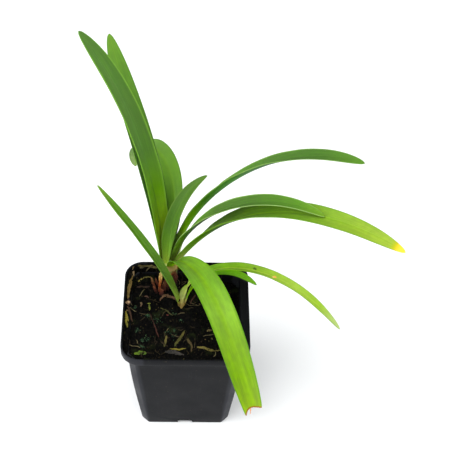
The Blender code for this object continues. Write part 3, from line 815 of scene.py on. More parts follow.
def black_polypropylene():
    plastic, tree, shader = new_material("moulded_black_polypropylene", 0.42, ior=1.49, specular=0.07)
    spot = add(tree, "TexCoord").outputs["Object"]
    clouds = add(tree, "TexNoise", {"Vector": spot, "Scale": 1 / CLOUD_SIZE, "Detail": 5.0}).outputs[0]
    colour = stained(tree, "#0F1013", "#17181B", clouds, (0.35, 0.75), (0.0, 0.6))
    stretched = add(tree, "Mapping", {"Vector": spot, "Scale": (1.0, 1.0, 0.08)}).outputs[0]
    scuffs = add(tree, "TexNoise", {"Vector": stretched, "Scale": 1 / SCUFF_WIDTH, "Detail": 3.0}).outputs[0]
    colour = stained(tree, colour, "#26282A", scuffs, (0.60, 0.80), (0.0, 0.35))
    grains = add(tree, "TexNoise", {"Vector": spot, "Scale": 1 / STUCK_SOIL_SIZE, "Detail": 2.0}).outputs[0]
    colour = stained(tree, colour, "#3B332A", grains, (0.70, 0.74), (0.0, 0.6))

    # Painted highlight: where x and y together reach nearly the full width for the height, on the chamfered
    # corners, the colour is painted paler, as if lit by the side lamps.
    side = add(tree, "SeparateXYZ", {0: add(tree, "VectorMath", {0: spot}, operation="ABSOLUTE").outputs[0]})
    reach = add(tree, "Math", {0: side.outputs["X"], 1: side.outputs["Y"]}, operation="ADD").outputs[0]
    full = add(tree, "MapRange", {"Value": side.outputs["Z"], 1: 0.0, 2: BODY_TOP, 3: BASE_WIDTH,
                                  4: BODY_TOP_WIDTH}).outputs[0]
    corner = add(tree, "Math", {0: reach, 1: full}, operation="DIVIDE").outputs[0]
    colour = stained(tree, colour, "#2B2C31", corner, (0.900, 0.925), (0.0, 0.75))
    for place, radius, hue in SPECKS:
        colour = spotted(tree, colour, hue, spot, place, radius, grains)
    fine = add(tree, "TexNoise", {"Vector": spot, "Scale": 1 / GRAIN_SIZE, "Detail": 2.0}).outputs[0]
    finished(tree, shader, colour, (fine, 0.00003, 0.7), (clouds, 0.0006, 0.25))
    rough = add(tree, "MapRange", {"Value": clouds, 1: 0.3, 2: 0.7, 3: 0.38, 4: 0.55}).outputs[0]
    tree.links.new(rough, shader.inputs["Roughness"])
    return plastic


hand_over(body, black_polypropylene(), "pot_plastic", "pot", smooth_angle=30)

# %% [markdown]
# The soil
#
# Peat compost is crumbly, nearly black and uneven: it is banked up at the left, back left and front
# and has sunk at the back right. Its surface is a fine grid with its corners cut off by bisect. Its
# outer edge is extruded down to the pot's floor, and then a formula lifts each point, with the same
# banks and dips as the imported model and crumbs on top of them. The noise that shifts the crumbs gets a
# seed, because without one Blender would shift them another way in each run.

# %% Soil shape
SOIL_LEVEL = 0.0860
SOIL_BANK = 0.0020
SOIL_DIP = 0.0070
SOIL_LUMP = 0.0006
SOIL_BOTTOM = 0.0017
SOIL_HALF = 0.0387
SOIL_BOTTOM_HALF = 0.0312
SOIL_CELL = 0.00046
CORNER_CUT = 0.0045
LEDGE = 0.0901
NOISE_SEED = 1


def from_foot(shoot, x, y):
    return np.hypot(x - shoot.foot[0], y - shoot.foot[1])


def soil_height(x, y):
    """Height of the packed soil's surface: banks, a dip, soft lumps and a flat pad under each shoot."""
    bank = np.maximum(soft(0.024, 0.036, -x), soft(0.026, 0.037, -y) * (1 - soft(0.005, 0.030, x)))
    dip = soft(0.004, 0.034, x) * (0.55 + 0.45 * soft(-0.030, 0.030, y))
    edge = 1 - 0.6 * soft(0.030, 0.038, np.maximum(np.abs(x), np.abs(y)))
    lumps = (1.5 * np.sin(x / 0.0031 + 1.3) * np.cos(y / 0.0037 - 0.4) + np.sin((x + y) / 0.0026)
             + 0.8 * np.cos((x - 1.7 * y) / 0.0034 + 2.0))
    height = SOIL_LEVEL + SOIL_BANK * bank - SOIL_DIP * dip + SOIL_LUMP * lumps * edge
    for shoot in SHOOTS:
        height = PAD_LEVEL + (height - PAD_LEVEL) * soft(shoot.pad, shoot.fades_at, from_foot(shoot, x, y))
    return height


@np.vectorize
def crumb_relief(x, y):
    """Height that crumbs add at a point: rounded clods of 4 mm and 1.6 mm with gaps between them."""
    here = Vector((x, y, 0.0)) * 1000
    warp = noise.noise_vector(here / 3.0) * 1.2
    clod = noise.voronoi((here + warp) / 4.2)[0][0]
    small = noise.voronoi((here + warp + Vector((7, 3, 1))) / 1.7)[0][0]
    return 0.0015 * (0.42 - clod) + 0.0007 * (0.42 - small) + 0.0003 * noise.noise(here / 0.7)


def ground(x, y):
    """Height of the crumbly surface, which lies flat where a shoot stands."""
    calm = np.minimum.reduce([soft(shoot.pad * 0.6, shoot.pad * 1.4, from_foot(shoot, x, y))
                              for shoot in SHOOTS])
    return soil_height(x, y) + crumb_relief(x, y) * calm


noise.seed_set(NOISE_SEED)
bpy.ops.mesh.primitive_grid_add(x_subdivisions=round(SOIL_HALF * 2 / SOIL_CELL),
                                y_subdivisions=round(SOIL_HALF * 2 / SOIL_CELL), size=SOIL_HALF * 2)
soil = bpy.context.object
soil.name = soil.data.name = "soil_crumbly"
bpy.ops.object.mode_set(mode="EDIT")
for across, along in ((1, 1), (1, -1), (-1, -1), (-1, 1)):
    bpy.ops.mesh.select_all(action="SELECT")
    corner = SOIL_HALF - CORNER_CUT / 2
    bpy.ops.mesh.bisect(plane_co=(across * corner, along * corner, 0), plane_no=(across, along, 0),
                        clear_outer=True)
bpy.ops.mesh.select_all(action="SELECT")
bpy.ops.mesh.region_to_loop()
bpy.ops.mesh.extrude_region_move(TRANSFORM_OT_translate={"value": (0, 0, -0.01)})
bpy.ops.mesh.edge_face_add()
bpy.ops.mesh.select_all(action="SELECT")
bpy.ops.mesh.normals_make_consistent(inside=False)
bpy.ops.object.mode_set(mode="OBJECT")
points = points_of(soil)
lowest = points[:, 2] < -0.005
top = ~lowest
points[top, 2] = ground(points[top, 0], points[top, 1])
points[lowest, :2] *= SOIL_BOTTOM_HALF / SOIL_HALF
points[lowest, 2] = SOIL_BOTTOM
put_points(soil, points)
print(f"soil: {len(soil.data.polygons)} faces, {points[top, 2].min():.4f} to {points[top, 2].max():.4f} m")

# %% [markdown]
# In the photo soil has spilled over the pot's ledge along the front, the left and the back left. It is
# one long heap: a strip that starts in the soil, climbs over the ledge and leans on the rim.

# %% Spilled soil
SPILL_ROUTE = ((0.034, -0.0411), (-0.0365, -0.0411), (-0.0411, -0.0365), (-0.0411, 0.0365),
               (-0.0365, 0.0411), (0.000, 0.0411))
SPILL_HALF = 0.0026
SPILL_STEP = 0.0006
SPILL_COLUMNS = 12
SPILL_DEPTH = 0.0005
BACK_BANK = 0.0014

corners = np.array(SPILL_ROUTE)
walked = np.concatenate([[0], np.cumsum(np.hypot(*np.diff(corners, axis=0).T))])
spots_along = np.arange(0, walked[-1], SPILL_STEP)
spine = np.stack([np.interp(spots_along, walked, corners[:, axis]) for axis in (0, 1)], -1)
ways = np.gradient(spine, axis=0)
ways = np.stack([smoothed(ways[:, axis]) for axis in (0, 1)], -1)
ways /= np.linalg.norm(ways, axis=1)[:, None]
inward = np.stack([ways[:, 1], -ways[:, 0]], -1)
side = np.linspace(-1, 1, SPILL_COLUMNS + 1)
plan = spine[:, None] + inward[:, None] * (SPILL_HALF * side)[:, None]
share = spots_along / spots_along[-1]
ends = soft(0, 0.12, share) * (1 - soft(0.86, 1.0, share))
swell = 0.5 + noise_at(spots_along * 120, 0.5, 0.0)
back_bank = soft(0.62, 0.74, share) * (1 - soft(0.84, 0.98, share))
heap = 0.0005 + 0.0017 * np.clip(swell, 0, 1) + BACK_BANK * back_bank
relief = crumb_relief(plan[..., 0], plan[..., 1])
on_ledge = LEDGE + (heap * ends)[:, None] - 0.0009 * (1 - ends)[:, None] + relief * 0.9
in_soil = ground(plan[..., 0], plan[..., 1]) - 0.0003
climb = 1 - soft(0.0, 0.9, side)
height = in_soil + (np.maximum(on_ledge, in_soil) - in_soil) * climb
spill = sheet("soil_spill", np.concatenate([plan, height[..., None]], -1), SPILL_DEPTH, share)
soil = join([soil, spill], "soil_crumbly")
print(f"spilled soil: {walked[-1] * 1000:.0f} mm along the ledge")

# %% [markdown]
# Peat is dark brown to black, matt when dry and a little glossy where it is damp. Lighter fibres lie
# in it, and a thin green film of algae grows on its damp spots.

# %% Peat material
PEAT_GRAIN_SIZE = 0.0016
PEAT_FIBRE_WIDTH = 0.0007
FILM_SIZE = 0.009


def damp_peat():
    peat, tree, shader = new_material("damp_peat_compost", roughness=0.85, ior=1.4, specular=0.07)
    spot = add(tree, "TexCoord").outputs["Object"]
    crumbs = add(tree, "TexNoise", {"Vector": spot, "Scale": 1 / PEAT_GRAIN_SIZE, "Detail": 6.0}).outputs[0]
    stops = [(0.30, "#010101"), (0.72, "#100D0A"), (0.52, "#040404"), (0.86, "#2A2319")]
    colour = add(tree, "ValToRGB", {"Fac": crumbs}, stops=stops).outputs[0]
    drawn = add(tree, "Mapping", {"Vector": spot, "Rotation": (0.4, 0.2, 0.7), "Scale": (1.0, 0.16, 1.0)})
    fibres = add(tree, "TexNoise", {"Vector": drawn.outputs[0], "Scale": 1 / PEAT_FIBRE_WIDTH,
                                    "Detail": 3.0}).outputs[0]
    colour = stained(tree, colour, "#5A4C30", fibres, (0.66, 0.74), (0.0, 0.45))
    patches = add(tree, "TexNoise", {"Vector": spot, "Scale": 1 / FILM_SIZE, "Detail": 4.0}).outputs[0]
    colour = stained(tree, colour, "#2A3216", patches, (0.58, 0.74), (0.0, 0.4))
    finished(tree, shader, colour, (crumbs, 0.0005, 1.0), (fibres, 0.0002, 0.6))
    return peat


hand_over(soil, damp_peat(), "soil", "soil", smooth_angle=70)

# %% [markdown]
# Crumbs and moss
#
# Compost is full of loose grains of peat and bark, and moss starts to grow where it stays damp. One
# grain is an icosphere and one moss leaf is a cone, each with a few faces only. Every copy gets its
# own mesh, size, turn and tint, and lies on whatever soil is under it. The draws are seeded.

# %% Copies on the soil
REST_REACH = 0.0010
SPECK_SIZE = 0.0008
Grain = namedtuple("Grain", "place size turn tint")


def surface_at(x, y):
    """Height of the soil at a point, or of the pot's ledge where no soil covers it."""
    hit, place, normal, face = soil.ray_cast(Vector((x, y, 0.2)), Vector((0, 0, -1)))
    return place.z if hit else LEDGE


def resting_height(x, y):
    nearby = ((0, 0), (REST_REACH, 0), (-REST_REACH, 0), (0, REST_REACH), (0, -REST_REACH))
    return max(surface_at(x + dx, y + dy) for dx, dy in nearby)


def scatter(original, name, grains):
    copies = []
    for grain in grains:
        copy = original.copy()
        copy.data = original.data.copy()
        bpy.context.collection.objects.link(copy)
        copy.data.transform(Matrix.LocRotScale(grain.place, grain.turn, grain.size))
        mark(copy, "tint", np.full(len(copy.data.vertices), grain.tint))
        copies.append(copy)
    bpy.data.objects.remove(original)
    return join(copies, name)


def tinted(name, stops, roughness):
    """A matt finish whose colour follows the tint that each copy was given."""
    finish, tree, shader = new_material(name, roughness, ior=1.4, specular=0.12)
    tint = add(tree, "Attribute", attribute_name="tint").outputs["Fac"]
    colour = add(tree, "ValToRGB", {"Fac": tint}, stops=stops).outputs["Color"]
    spot = add(tree, "TexCoord").outputs["Object"]
    grainy(tree, shader, colour, spot, SPECK_SIZE, (0.55, 1.3), 0.0002)
    return finish


# %% [markdown]
# Loose crumbs are drawn all over the soil, small ones far more often than large ones. They could be
# modelled into the surface, but loose grains catch the light at the edges, as real crumbs do. None
# lie right against a shoot.

# %% Crumbs
CRUMBS = 1100
CRUMB_AREA = 0.0425
FOOT_CLEAR = 0.0045
CRUMB_SMALL = 0.00028
CRUMB_SPREAD = 0.00062
draw = random.Random(11)


def any_turn():
    return Euler([draw.uniform(0, 2 * pi) for axis in range(3)])


grains = []
while len(grains) < CRUMBS:
    x, y = draw.uniform(-CRUMB_AREA, CRUMB_AREA), draw.uniform(-CRUMB_AREA, CRUMB_AREA)
    height = surface_at(x, y)
    radius = CRUMB_SMALL + CRUMB_SPREAD * draw.random() ** 2.5
    size = Vector((radius, radius * draw.uniform(0.6, 1.0), radius * draw.uniform(0.45, 0.9)))
    grain = Grain(Vector((x, y, height + 0.25 * radius)), size, any_turn(), draw.random() ** 1.3)
    stray = height == LEDGE and draw.random() > 0.08
    if not stray and all(from_foot(shoot, x, y) > FOOT_CLEAR for shoot in SHOOTS):
        grains.append(grain)
bpy.ops.mesh.primitive_ico_sphere_add(subdivisions=1, radius=1.0)
crumbs = scatter(bpy.context.object, "soil_crumbs", grains)
stops = [(0.0, "#020202"), (1.0, "#6A5636"), (0.60, "#0E0B09"), (0.86, "#2A2117"), (0.95, "#3E3C22")]
hand_over(crumbs, tinted("peat_and_bark_crumbs", stops, 0.9), "soil")

# %% [markdown]
# Moss starts as small tufts on damp soil. A tuft is a few dozen leaflets round one spot, and each
# leaflet is a tiny cone that leans its own way.

# %% Moss
MOSS_TUFTS = ((-0.0278, 0.0012, 0.0017, 90), (-0.0304, -0.0206, 0.0012, 60), (-0.0302, -0.0270, 0.0017, 90),
              (-0.0080, -0.0120, 0.0012, 40), (-0.0036, -0.0020, 0.0014, 36), (-0.0368, 0.0064, 0.0012, 36),
              (-0.0265, -0.0195, 0.0022, 40), (-0.0345, -0.0135, 0.0026, 40), (-0.0090, 0.0040, 0.0024, 30),
              (-0.0210, -0.0020, 0.0040, 50), (-0.0100, -0.0150, 0.0050, 40))
MOSS_LEAF = 0.00085
grains = []
for x0, y0, spread, count in MOSS_TUFTS:
    for leaflet in range(count):
        x, y = draw.gauss(x0, spread / 2), draw.gauss(y0, spread / 2)
        size = MOSS_LEAF * draw.uniform(0.5, 1.1)
        lean = Euler((draw.uniform(-1.0, 1.0), draw.uniform(-1.0, 1.0), draw.uniform(0, 2 * pi)))
        place = Vector((x, y, surface_at(x, y) + size * 0.25))
        grains.append(Grain(place, Vector((size, size, size)), lean, draw.random()))
bpy.ops.mesh.primitive_cone_add(vertices=5, radius1=0.22, radius2=0.04, depth=1.0)
moss = scatter(bpy.context.object, "moss_leaves", grains)
stops = [(0.0, "#1A2A1C"), (1.0, "#6A8C60"), (0.6, "#34523C")]
hand_over(moss, tinted("damp_moss_leaves", stops, 0.7), "soil")

# %% [markdown]
# Dead scraps
#
# Dead leaf strips, stalks and bits of root lie on the soil and on the pot's ledge. Each follows nearly
# the same route, seen from above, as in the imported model. Real scraps dry into curled strips with frayed
# ends, so each gets a curled section, a ragged width and a few kinks.

# %% Scrap table
Scrap = namedtuple("Scrap", "name width route curl hues slot")
LITTER = [
    Scrap("litter_tan_on_left_ledge", 0.0022, ((-0.0394, 0.0336), (-0.0404, 0.0258), (-0.0426, 0.0205),
                                               (-0.0418, 0.0115)),
          0.7, ("#5A4820", "#6E5A30"), "litter_tan"),
    Scrap("litter_olive_on_back_ledge", 0.0021, ((-0.0368, 0.0420), (-0.0300, 0.0422), (-0.0220, 0.0405)),
          0.5, ("#463A1E", "#544E2A"), "litter_olive"),
    Scrap("litter_stalk_on_left_ledge", 0.0013, ((-0.0424, -0.0010), (-0.0418, -0.0070), (-0.0412, -0.0138)),
          1.2, ("#A09638", "#625E22"), "litter_green"),
    Scrap("litter_olive_back_left", 0.0013, ((-0.0357, 0.0309), (-0.0318, 0.0362), (-0.0250, 0.0370)),
          0.8, ("#7E7232", "#5C5630"), "litter_olive"),
    Scrap("litter_brown_left", 0.0017, ((-0.0363, 0.0258), (-0.0318, 0.0276), (-0.0268, 0.0280)),
          0.7, ("#3A2A20", "#2A1E18"), "litter_brown"),
    Scrap("litter_tan_arc", 0.0017,
          ((-0.0192, 0.0155), (-0.0172, 0.0198), (-0.0132, 0.0206), (-0.0100, 0.0180), (-0.0072, 0.0156)),
          0.9, ("#6A4E38", "#54402C"), "litter_tan"),
    Scrap("litter_red_stem", 0.0007, ((-0.0262, 0.0036), (-0.0228, -0.0068), (-0.0189, -0.0182)),
          1.4, ("#2A1A14", "#44261E"), "litter_brown"),
    Scrap("litter_green_front_left", 0.0030, ((-0.0355, -0.0338), (-0.0315, -0.0328), (-0.0272, -0.0345)),
          0.5, ("#66821E", "#34481A"), "litter_green"),
    Scrap("litter_olive_front", 0.0016, ((-0.0138, -0.0170), (-0.0132, -0.0215), (-0.0150, -0.0268)),
          0.8, ("#6A6030", "#464424"), "litter_olive"),
    Scrap("litter_olive_front_curved", 0.0017, ((-0.0006, -0.0120), (-0.0042, -0.0190), (-0.0078, -0.0262)),
          0.8, ("#584E24", "#40441E"), "litter_olive"),
    Scrap("litter_yellow_front", 0.0011, ((-0.0109, -0.0283), (-0.0050, -0.0290), (0.0003, -0.0280)),
          0.9, ("#8A7E2C", "#625A22"), "litter_green"),
    Scrap("litter_grey_front", 0.0030, ((-0.0143, -0.0318), (-0.0080, -0.0338), (-0.0010, -0.0336)),
          0.6, ("#2A2826", "#3C3834"), "litter_grey"),
    Scrap("litter_curl_front", 0.0015, ((0.0006, -0.0200), (0.0052, -0.0235), (0.0042, -0.0320)),
          1.2, ("#4E4826", "#4A3A26"), "litter_olive"),
    Scrap("litter_root_front_right", 0.0013,
          ((0.0080, -0.0260), (0.0137, -0.0276), (0.0205, -0.0300), (0.0240, -0.0262)),
          1.6, ("#7E7238", "#565028"), "litter_tan"),
    Scrap("litter_red_bit", 0.0015, ((0.0151, -0.0121), (0.0187, -0.0094)),
          0.7, ("#6A6038", "#5A4A30"), "litter_brown"),
]
LOOSE_BITS = [
    Scrap("bit_strip_back_left", 0.0017, ((-0.0398, 0.0428), (-0.0392, 0.0405), (-0.0388, 0.0345)),
          0.6, ("#96805A", "#786448"), "litter_tan"),
    Scrap("bit_strip_left_end", 0.0014, ((-0.0418, 0.0125), (-0.0410, 0.0100), (-0.0398, 0.0072)),
          0.6, ("#3A2820", "#2A1C16"), "litter_brown"),
    Scrap("bit_tan_flake", 0.0022, ((-0.0438, 0.0084), (-0.0415, 0.0082), (-0.0396, 0.0080)),
          0.3, ("#9A7C5C", "#A88C6C"), "litter_tan"),
    Scrap("bit_tan_tail", 0.0011, ((-0.0424, 0.0088), (-0.0418, 0.0070), (-0.0408, 0.0056)),
          0.6, ("#7A5E48", "#5C4434"), "litter_tan"),
    Scrap("bit_yellow_stalk", 0.0012, ((-0.0430, 0.0000), (-0.0422, -0.0045), (-0.0408, -0.0090)),
          1.2, ("#9A8C34", "#7E7230"), "litter_green"),
    Scrap("bit_brown_stalk", 0.0010, ((-0.0420, 0.0045), (-0.0400, -0.0010), (-0.0380, -0.0064)),
          1.2, ("#4A3424", "#34241A"), "litter_brown"),
    Scrap("bit_grey_arc", 0.0008, ((-0.0300, 0.0388), (-0.0270, 0.0420), (-0.0212, 0.0408)),
          1.2, ("#544C34", "#403A28"), "litter_grey"),
    Scrap("bit_grey_curl", 0.0012, ((-0.0346, 0.0400), (-0.0322, 0.0405), (-0.0308, 0.0428)),
          1.0, ("#524C38", "#403C2A"), "litter_grey"),
    Scrap("bit_pink_root", 0.0014, ((-0.0304, 0.0178), (-0.0288, 0.0168), (-0.0271, 0.0156)),
          0.9, ("#58402F", "#42302A"), "litter_brown"),
    Scrap("bit_pink_grain", 0.0015, ((-0.0330, 0.0118), (-0.0324, 0.0100), (-0.0326, 0.0078)),
          0.9, ("#6E5C40", "#584436"), "litter_tan"),
    Scrap("bit_sprout", 0.0010, ((-0.0270, 0.0112), (-0.0267, 0.0095), (-0.0264, 0.0068)),
          1.2, ("#44501E", "#7A8430"), "litter_green"),
    Scrap("bit_sprout_leaf", 0.0010, ((-0.0280, 0.0114), (-0.0269, 0.0110), (-0.0258, 0.0115)),
          0.6, ("#747C2C", "#969C42"), "litter_green"),
    Scrap("bit_root_by_shoot", 0.0010, ((0.0030, 0.0128), (0.0052, 0.0180), (0.0070, 0.0228)),
          1.2, ("#4A2E26", "#3A241E"), "litter_brown"),
    Scrap("bit_red_flake", 0.0014, ((-0.0140, 0.0024), (-0.0128, 0.0010)),
          0.6, ("#5E2E26", "#4A241E"), "litter_brown"),
    Scrap("bit_olive_thread", 0.0009, ((-0.0185, 0.0072), (-0.0140, 0.0050), (-0.0096, 0.0026)),
          1.2, ("#4E4E26", "#3A3A1E"), "litter_olive"),
]

# %% [markdown]
# A scrap rests on the highest crumbs near it, as a strip in a bed of soil does, or on the ledge.

# %% Scrap shape
SCRAP_THICKNESS = 0.00030
SCRAP_COLUMNS = 8
SCRAP_ROW = 0.0004


def route_of(points, count):
    """Evenly spread places along the smooth curve through a scrap's plan, and its directions."""
    t = np.linspace(0, 1, count)
    spots = np.stack([bezier([point[axis] for point in points], t) for axis in (0, 1)], -1)
    ways = np.gradient(spots, axis=0)
    return t, spots, ways / np.linalg.norm(ways, axis=1)[:, None]


def model_scrap(scrap, seed, name):
    length = sum((Vector(b) - Vector(a)).length for a, b in zip(scrap.route, scrap.route[1:]))
    t, spots, ways = route_of(scrap.route, max(14, round(length / SCRAP_ROW)))
    side = np.linspace(-1, 1, SCRAP_COLUMNS + 1)

    def wander(row, scale):
        return noise_at(seed * 2.7, row, t * length * scale)

    beside = np.stack([-ways[:, 1], ways[:, 0]], -1)
    spots = spots + beside * (0.0007 * wander(1.0, 240) * soft(0, 0.2, t) * (1 - soft(0.8, 1, t)))[:, None]
    fray = 1 + 0.5 * noise_at(seed, (t * length * 900)[:, None], side * 1.5)
    half = scrap.width / 2 * (0.25 + 0.75 * np.sin(pi * np.clip(t, 0.01, 0.99)) ** 0.6)
    half = half * (1 + 0.45 * wander(3.0, 320))
    bend = side * (0.4 + scrap.curl)
    across = half[:, None] * np.sin(bend) / max(np.sin(bend[-1]), 0.6) * fray
    crown = half[:, None] * (1 - np.cos(bend)) * 0.9
    turn = (1.3 * wander(7.0, 180))[:, None]
    out = across * np.cos(turn) - crown * np.sin(turn)
    rise = across * np.sin(turn) + crown * np.cos(turn)
    plan = spots[:, None] + beside[:, None] * out[..., None]
    rest = np.array([resting_height(*spot) for spot in spots])
    rest = np.maximum(smoothed(rest), rest - 0.0003)
    buried = 0.0008 * np.clip(wander(9.0, 260), 0, 1)
    z = (rest - buried)[:, None] + rise - rise.min(axis=1)[:, None] * 0.5
    return sheet(name, np.concatenate([plan, z[..., None]], -1), SCRAP_THICKNESS, t, margin=0.7)


# %% [markdown]
# Dead leaf tissue is papery: it has lost its wax, so it is matt, its veins stand out as darker lines,
# and it bleaches unevenly from brown to straw.

# %% Scrap material
DECAY_SIZE = 0.0025
VEIN_GAP = 0.12


def dry_leaf(name, pale, dark):
    """Papery dead leaf tissue, from one colour at one end to another, with dark veins and spots."""
    tissue, tree, shader = new_material("dry_leaf_" + name, roughness=0.8, ior=1.4, specular=0.25)
    spread = add(tree, "SeparateXYZ", {0: add(tree, "UVMap").outputs["UV"]})
    across, along = spread.outputs["X"], spread.outputs["Y"]
    spot = add(tree, "TexCoord").outputs["Object"]
    clouds = add(tree, "TexNoise", {"Vector": spot, "Scale": 1 / DECAY_SIZE, "Detail": 4.0}).outputs[0]
    tone = add(tree, "Math", {0: along, 1: 0.5, 2: clouds}, operation="MULTIPLY_ADD").outputs[0]
    colour = stained(tree, pale, dark, tone, (0.45, 1.0), (0.0, 1.0))
    across = add(tree, "Math", {0: across, 1: 1 / VEIN_GAP}, operation="MULTIPLY").outputs[0]
    lane = add(tree, "CombineXYZ", {0: across, 1: along}).outputs[0]
    veins = add(tree, "TexNoise", {"Vector": lane, "Scale": 2.0, "Detail": 2.0}).outputs[0]
    colour = shaded(tree, colour, veins, (0.3, 0.6), (0.55, 1.1))
    finished(tree, shader, colour, (veins, 0.00015, 1.0))
    return tissue


for seed, scrap in enumerate(LITTER):
    hand_over(model_scrap(scrap, seed, scrap.name + "_dried"), dry_leaf(scrap.name, *scrap.hues),
              scrap.slot, scrap.name)
for seed, scrap in enumerate(LOOSE_BITS, start=len(LITTER)):
    hand_over(model_scrap(scrap, seed, scrap.name), dry_leaf(scrap.name, *scrap.hues), scrap.slot)

# %% [markdown]
# Fine roots and fibres lie everywhere in peat. They are made as the scraps are, only thinner. A few
# follow the photo, and the rest are drawn at random.

# %% Fibres
FIBRES = 70
FIBRE_WIDTH = 0.00036
PLACED_FIBRES = (((-0.0292, 0.0152), (-0.0240, 0.0136), (-0.0190, 0.0146)),
                 ((-0.0004, 0.0150), (0.0020, 0.0100), (0.0100, 0.0108)),
                 ((-0.0100, 0.0340), (0.0000, 0.0352), (0.0060, 0.0335)),
                 ((-0.0060, 0.0400), (0.0010, 0.0352), (0.0040, 0.0330)))
routes = list(PLACED_FIBRES)
while len(routes) < FIBRES:
    x, y = draw.uniform(-0.040, 0.026), draw.uniform(-0.038, 0.038)
    heading, length, bow = draw.uniform(0, pi), draw.uniform(0.003, 0.009), draw.uniform(-0.002, 0.002)
    along = np.array([cos(heading), sin(heading)])
    middle = np.array([x, y]) + along * length / 2 + np.array([-along[1], along[0]]) * bow
    route = ((x, y), tuple(middle), tuple(np.array([x, y]) + along * length))
    if np.abs(route).max() < 0.042:
        routes.append(route)
threads = []
for seed, route in enumerate(routes):
    thread = model_scrap(Scrap("fibre", FIBRE_WIDTH, route, 1.4, (), "soil"), 100 + seed, f"fibre_{seed}")
    mark(thread, "tint", np.full(len(thread.data.vertices), draw.random()))
    threads.append(thread)
fibres = join(threads, "soil_fibres")
stops = [(0.0, "#1C1610"), (1.0, "#665E42"), (0.6, "#362E20")]
hand_over(fibres, tinted("dry_root_fibre", stops, 0.8), "soil")

# %% [markdown]
# The shoots
#
# The main shoot is a short stem of leaf bases wrapped round each other. Its core is hidden by their
# sheaths above and shows below as old, red-brown fibrous bases. Both cores start as a grid that is
# rolled into a tube: its two long edges are merged, and its ends are filled.

# %% Core shape
CORE_COLUMNS = 72
CORE_ROWS = 40
BASE_CLOUD_SIZE = 0.003
BASE_FIBRE_WIDTH = 0.0006


def model_core(name, bottom, top, foot, foot_radii, tip, tip_radii, ridges, rough):
    bpy.ops.mesh.primitive_grid_add(x_subdivisions=CORE_COLUMNS, y_subdivisions=CORE_ROWS, size=2)
    core = bpy.context.object
    core.name = core.data.name = name
    flat = points_of(core)
    turn = (flat[:, 0] + 1) * pi
    t = (flat[:, 1] + 1) / 2
    ripple = noise_at(np.cos(turn) * ridges, np.sin(turn) * ridges, t * 1.2)
    close = 1 - 0.55 * soft(0.80, 1.0, t) ** 2
    points = np.empty_like(flat)
    for axis, wheel in ((0, np.cos(turn)), (1, np.sin(turn))):
        radius = foot_radii[axis] + (tip_radii[axis] - foot_radii[axis]) * soft(0, 1.1, t)
        centre = foot[axis] + (tip[axis] - foot[axis]) * t
        points[:, axis] = centre + wheel * radius * close * (1 + rough * ripple)
    points[:, 2] = bottom + (top - bottom) * t
    put_points(core, points)
    bpy.ops.object.mode_set(mode="EDIT")
    bpy.ops.mesh.select_all(action="SELECT")
    bpy.ops.mesh.remove_doubles(threshold=1e-6)
    bpy.ops.mesh.select_all(action="SELECT")
    bpy.ops.mesh.fill_holes(sides=0)
    bpy.ops.mesh.select_all(action="SELECT")
    bpy.ops.mesh.normals_make_consistent(inside=False)
    bpy.ops.object.mode_set(mode="OBJECT")
    return core


def core_skin(name, stops, bottom, top):
    """Old leaf bases: fibrous lengthways, coloured by their height above the soil."""
    skin, tree, shader = new_material(name, roughness=0.7, ior=1.4)
    spot = add(tree, "TexCoord").outputs["Object"]
    height = add(tree, "SeparateXYZ", {0: spot}).outputs["Z"]
    clouds = add(tree, "TexNoise", {"Vector": spot, "Scale": 1 / BASE_CLOUD_SIZE, "Detail": 4.0}).outputs[0]
    shift = add(tree, "Math", {0: clouds, 1: 0.004, 2: -0.002}, operation="MULTIPLY_ADD").outputs[0]
    height = add(tree, "Math", {0: height, 1: shift}, operation="ADD").outputs[0]
    level = add(tree, "MapRange", {"Value": height, 1: bottom, 2: top}).outputs[0]
    colour = add(tree, "ValToRGB", {"Fac": level}, stops=stops).outputs[0]
    drawn = add(tree, "Mapping", {"Vector": spot, "Scale": (1.0, 1.0, 0.10)}).outputs[0]
    grainy(tree, shader, colour, drawn, BASE_FIBRE_WIDTH, (0.6, 1.25), 0.0003)
    return skin


main_core = model_core("shoot_main_bases", PAD_LEVEL - 0.0008, 0.1100, (-0.0115, 0.0322), (0.0046, 0.0044),
                       (-0.0120, 0.0333), (0.0050, 0.0062), 2.6, 0.22)
hand_over(main_core, core_skin("old_leaf_bases", [(0.0, "#120B08"), (1.0, "#8C9A48"), (0.30, "#2E1710"),
                                                  (0.5, "#4A2A1C"), (0.68, "#5E6030")],
                               PAD_LEVEL, 0.108), "shoot_main", "shoot_main")
side_core = model_core("shoot_side_bases", PAD_LEVEL - 0.0008, 0.0896, (-0.0036, 0.0114), (0.0015, 0.0014),
                       (-0.0029, 0.0123), (0.0020, 0.0015), 2.0, 0.10)
hand_over(side_core, core_skin("young_leaf_bases", [(0.0, "#6A4C34"), (1.0, "#A9B464"), (0.35, "#9A7E50"),
                                                    (0.6, "#AAB062")],
                               PAD_LEVEL, 0.0918), "shoot_side", "shoot_side")

# %% [markdown]
# The dry sheath
#
# At the left of the main shoot the bases of dead leaves have frayed into red-brown, papery flaps. Each
# flap is a small sheet that rises from the soil, leans outwards and ends in a torn point. One of them
# is a pale, straw-coloured tooth.

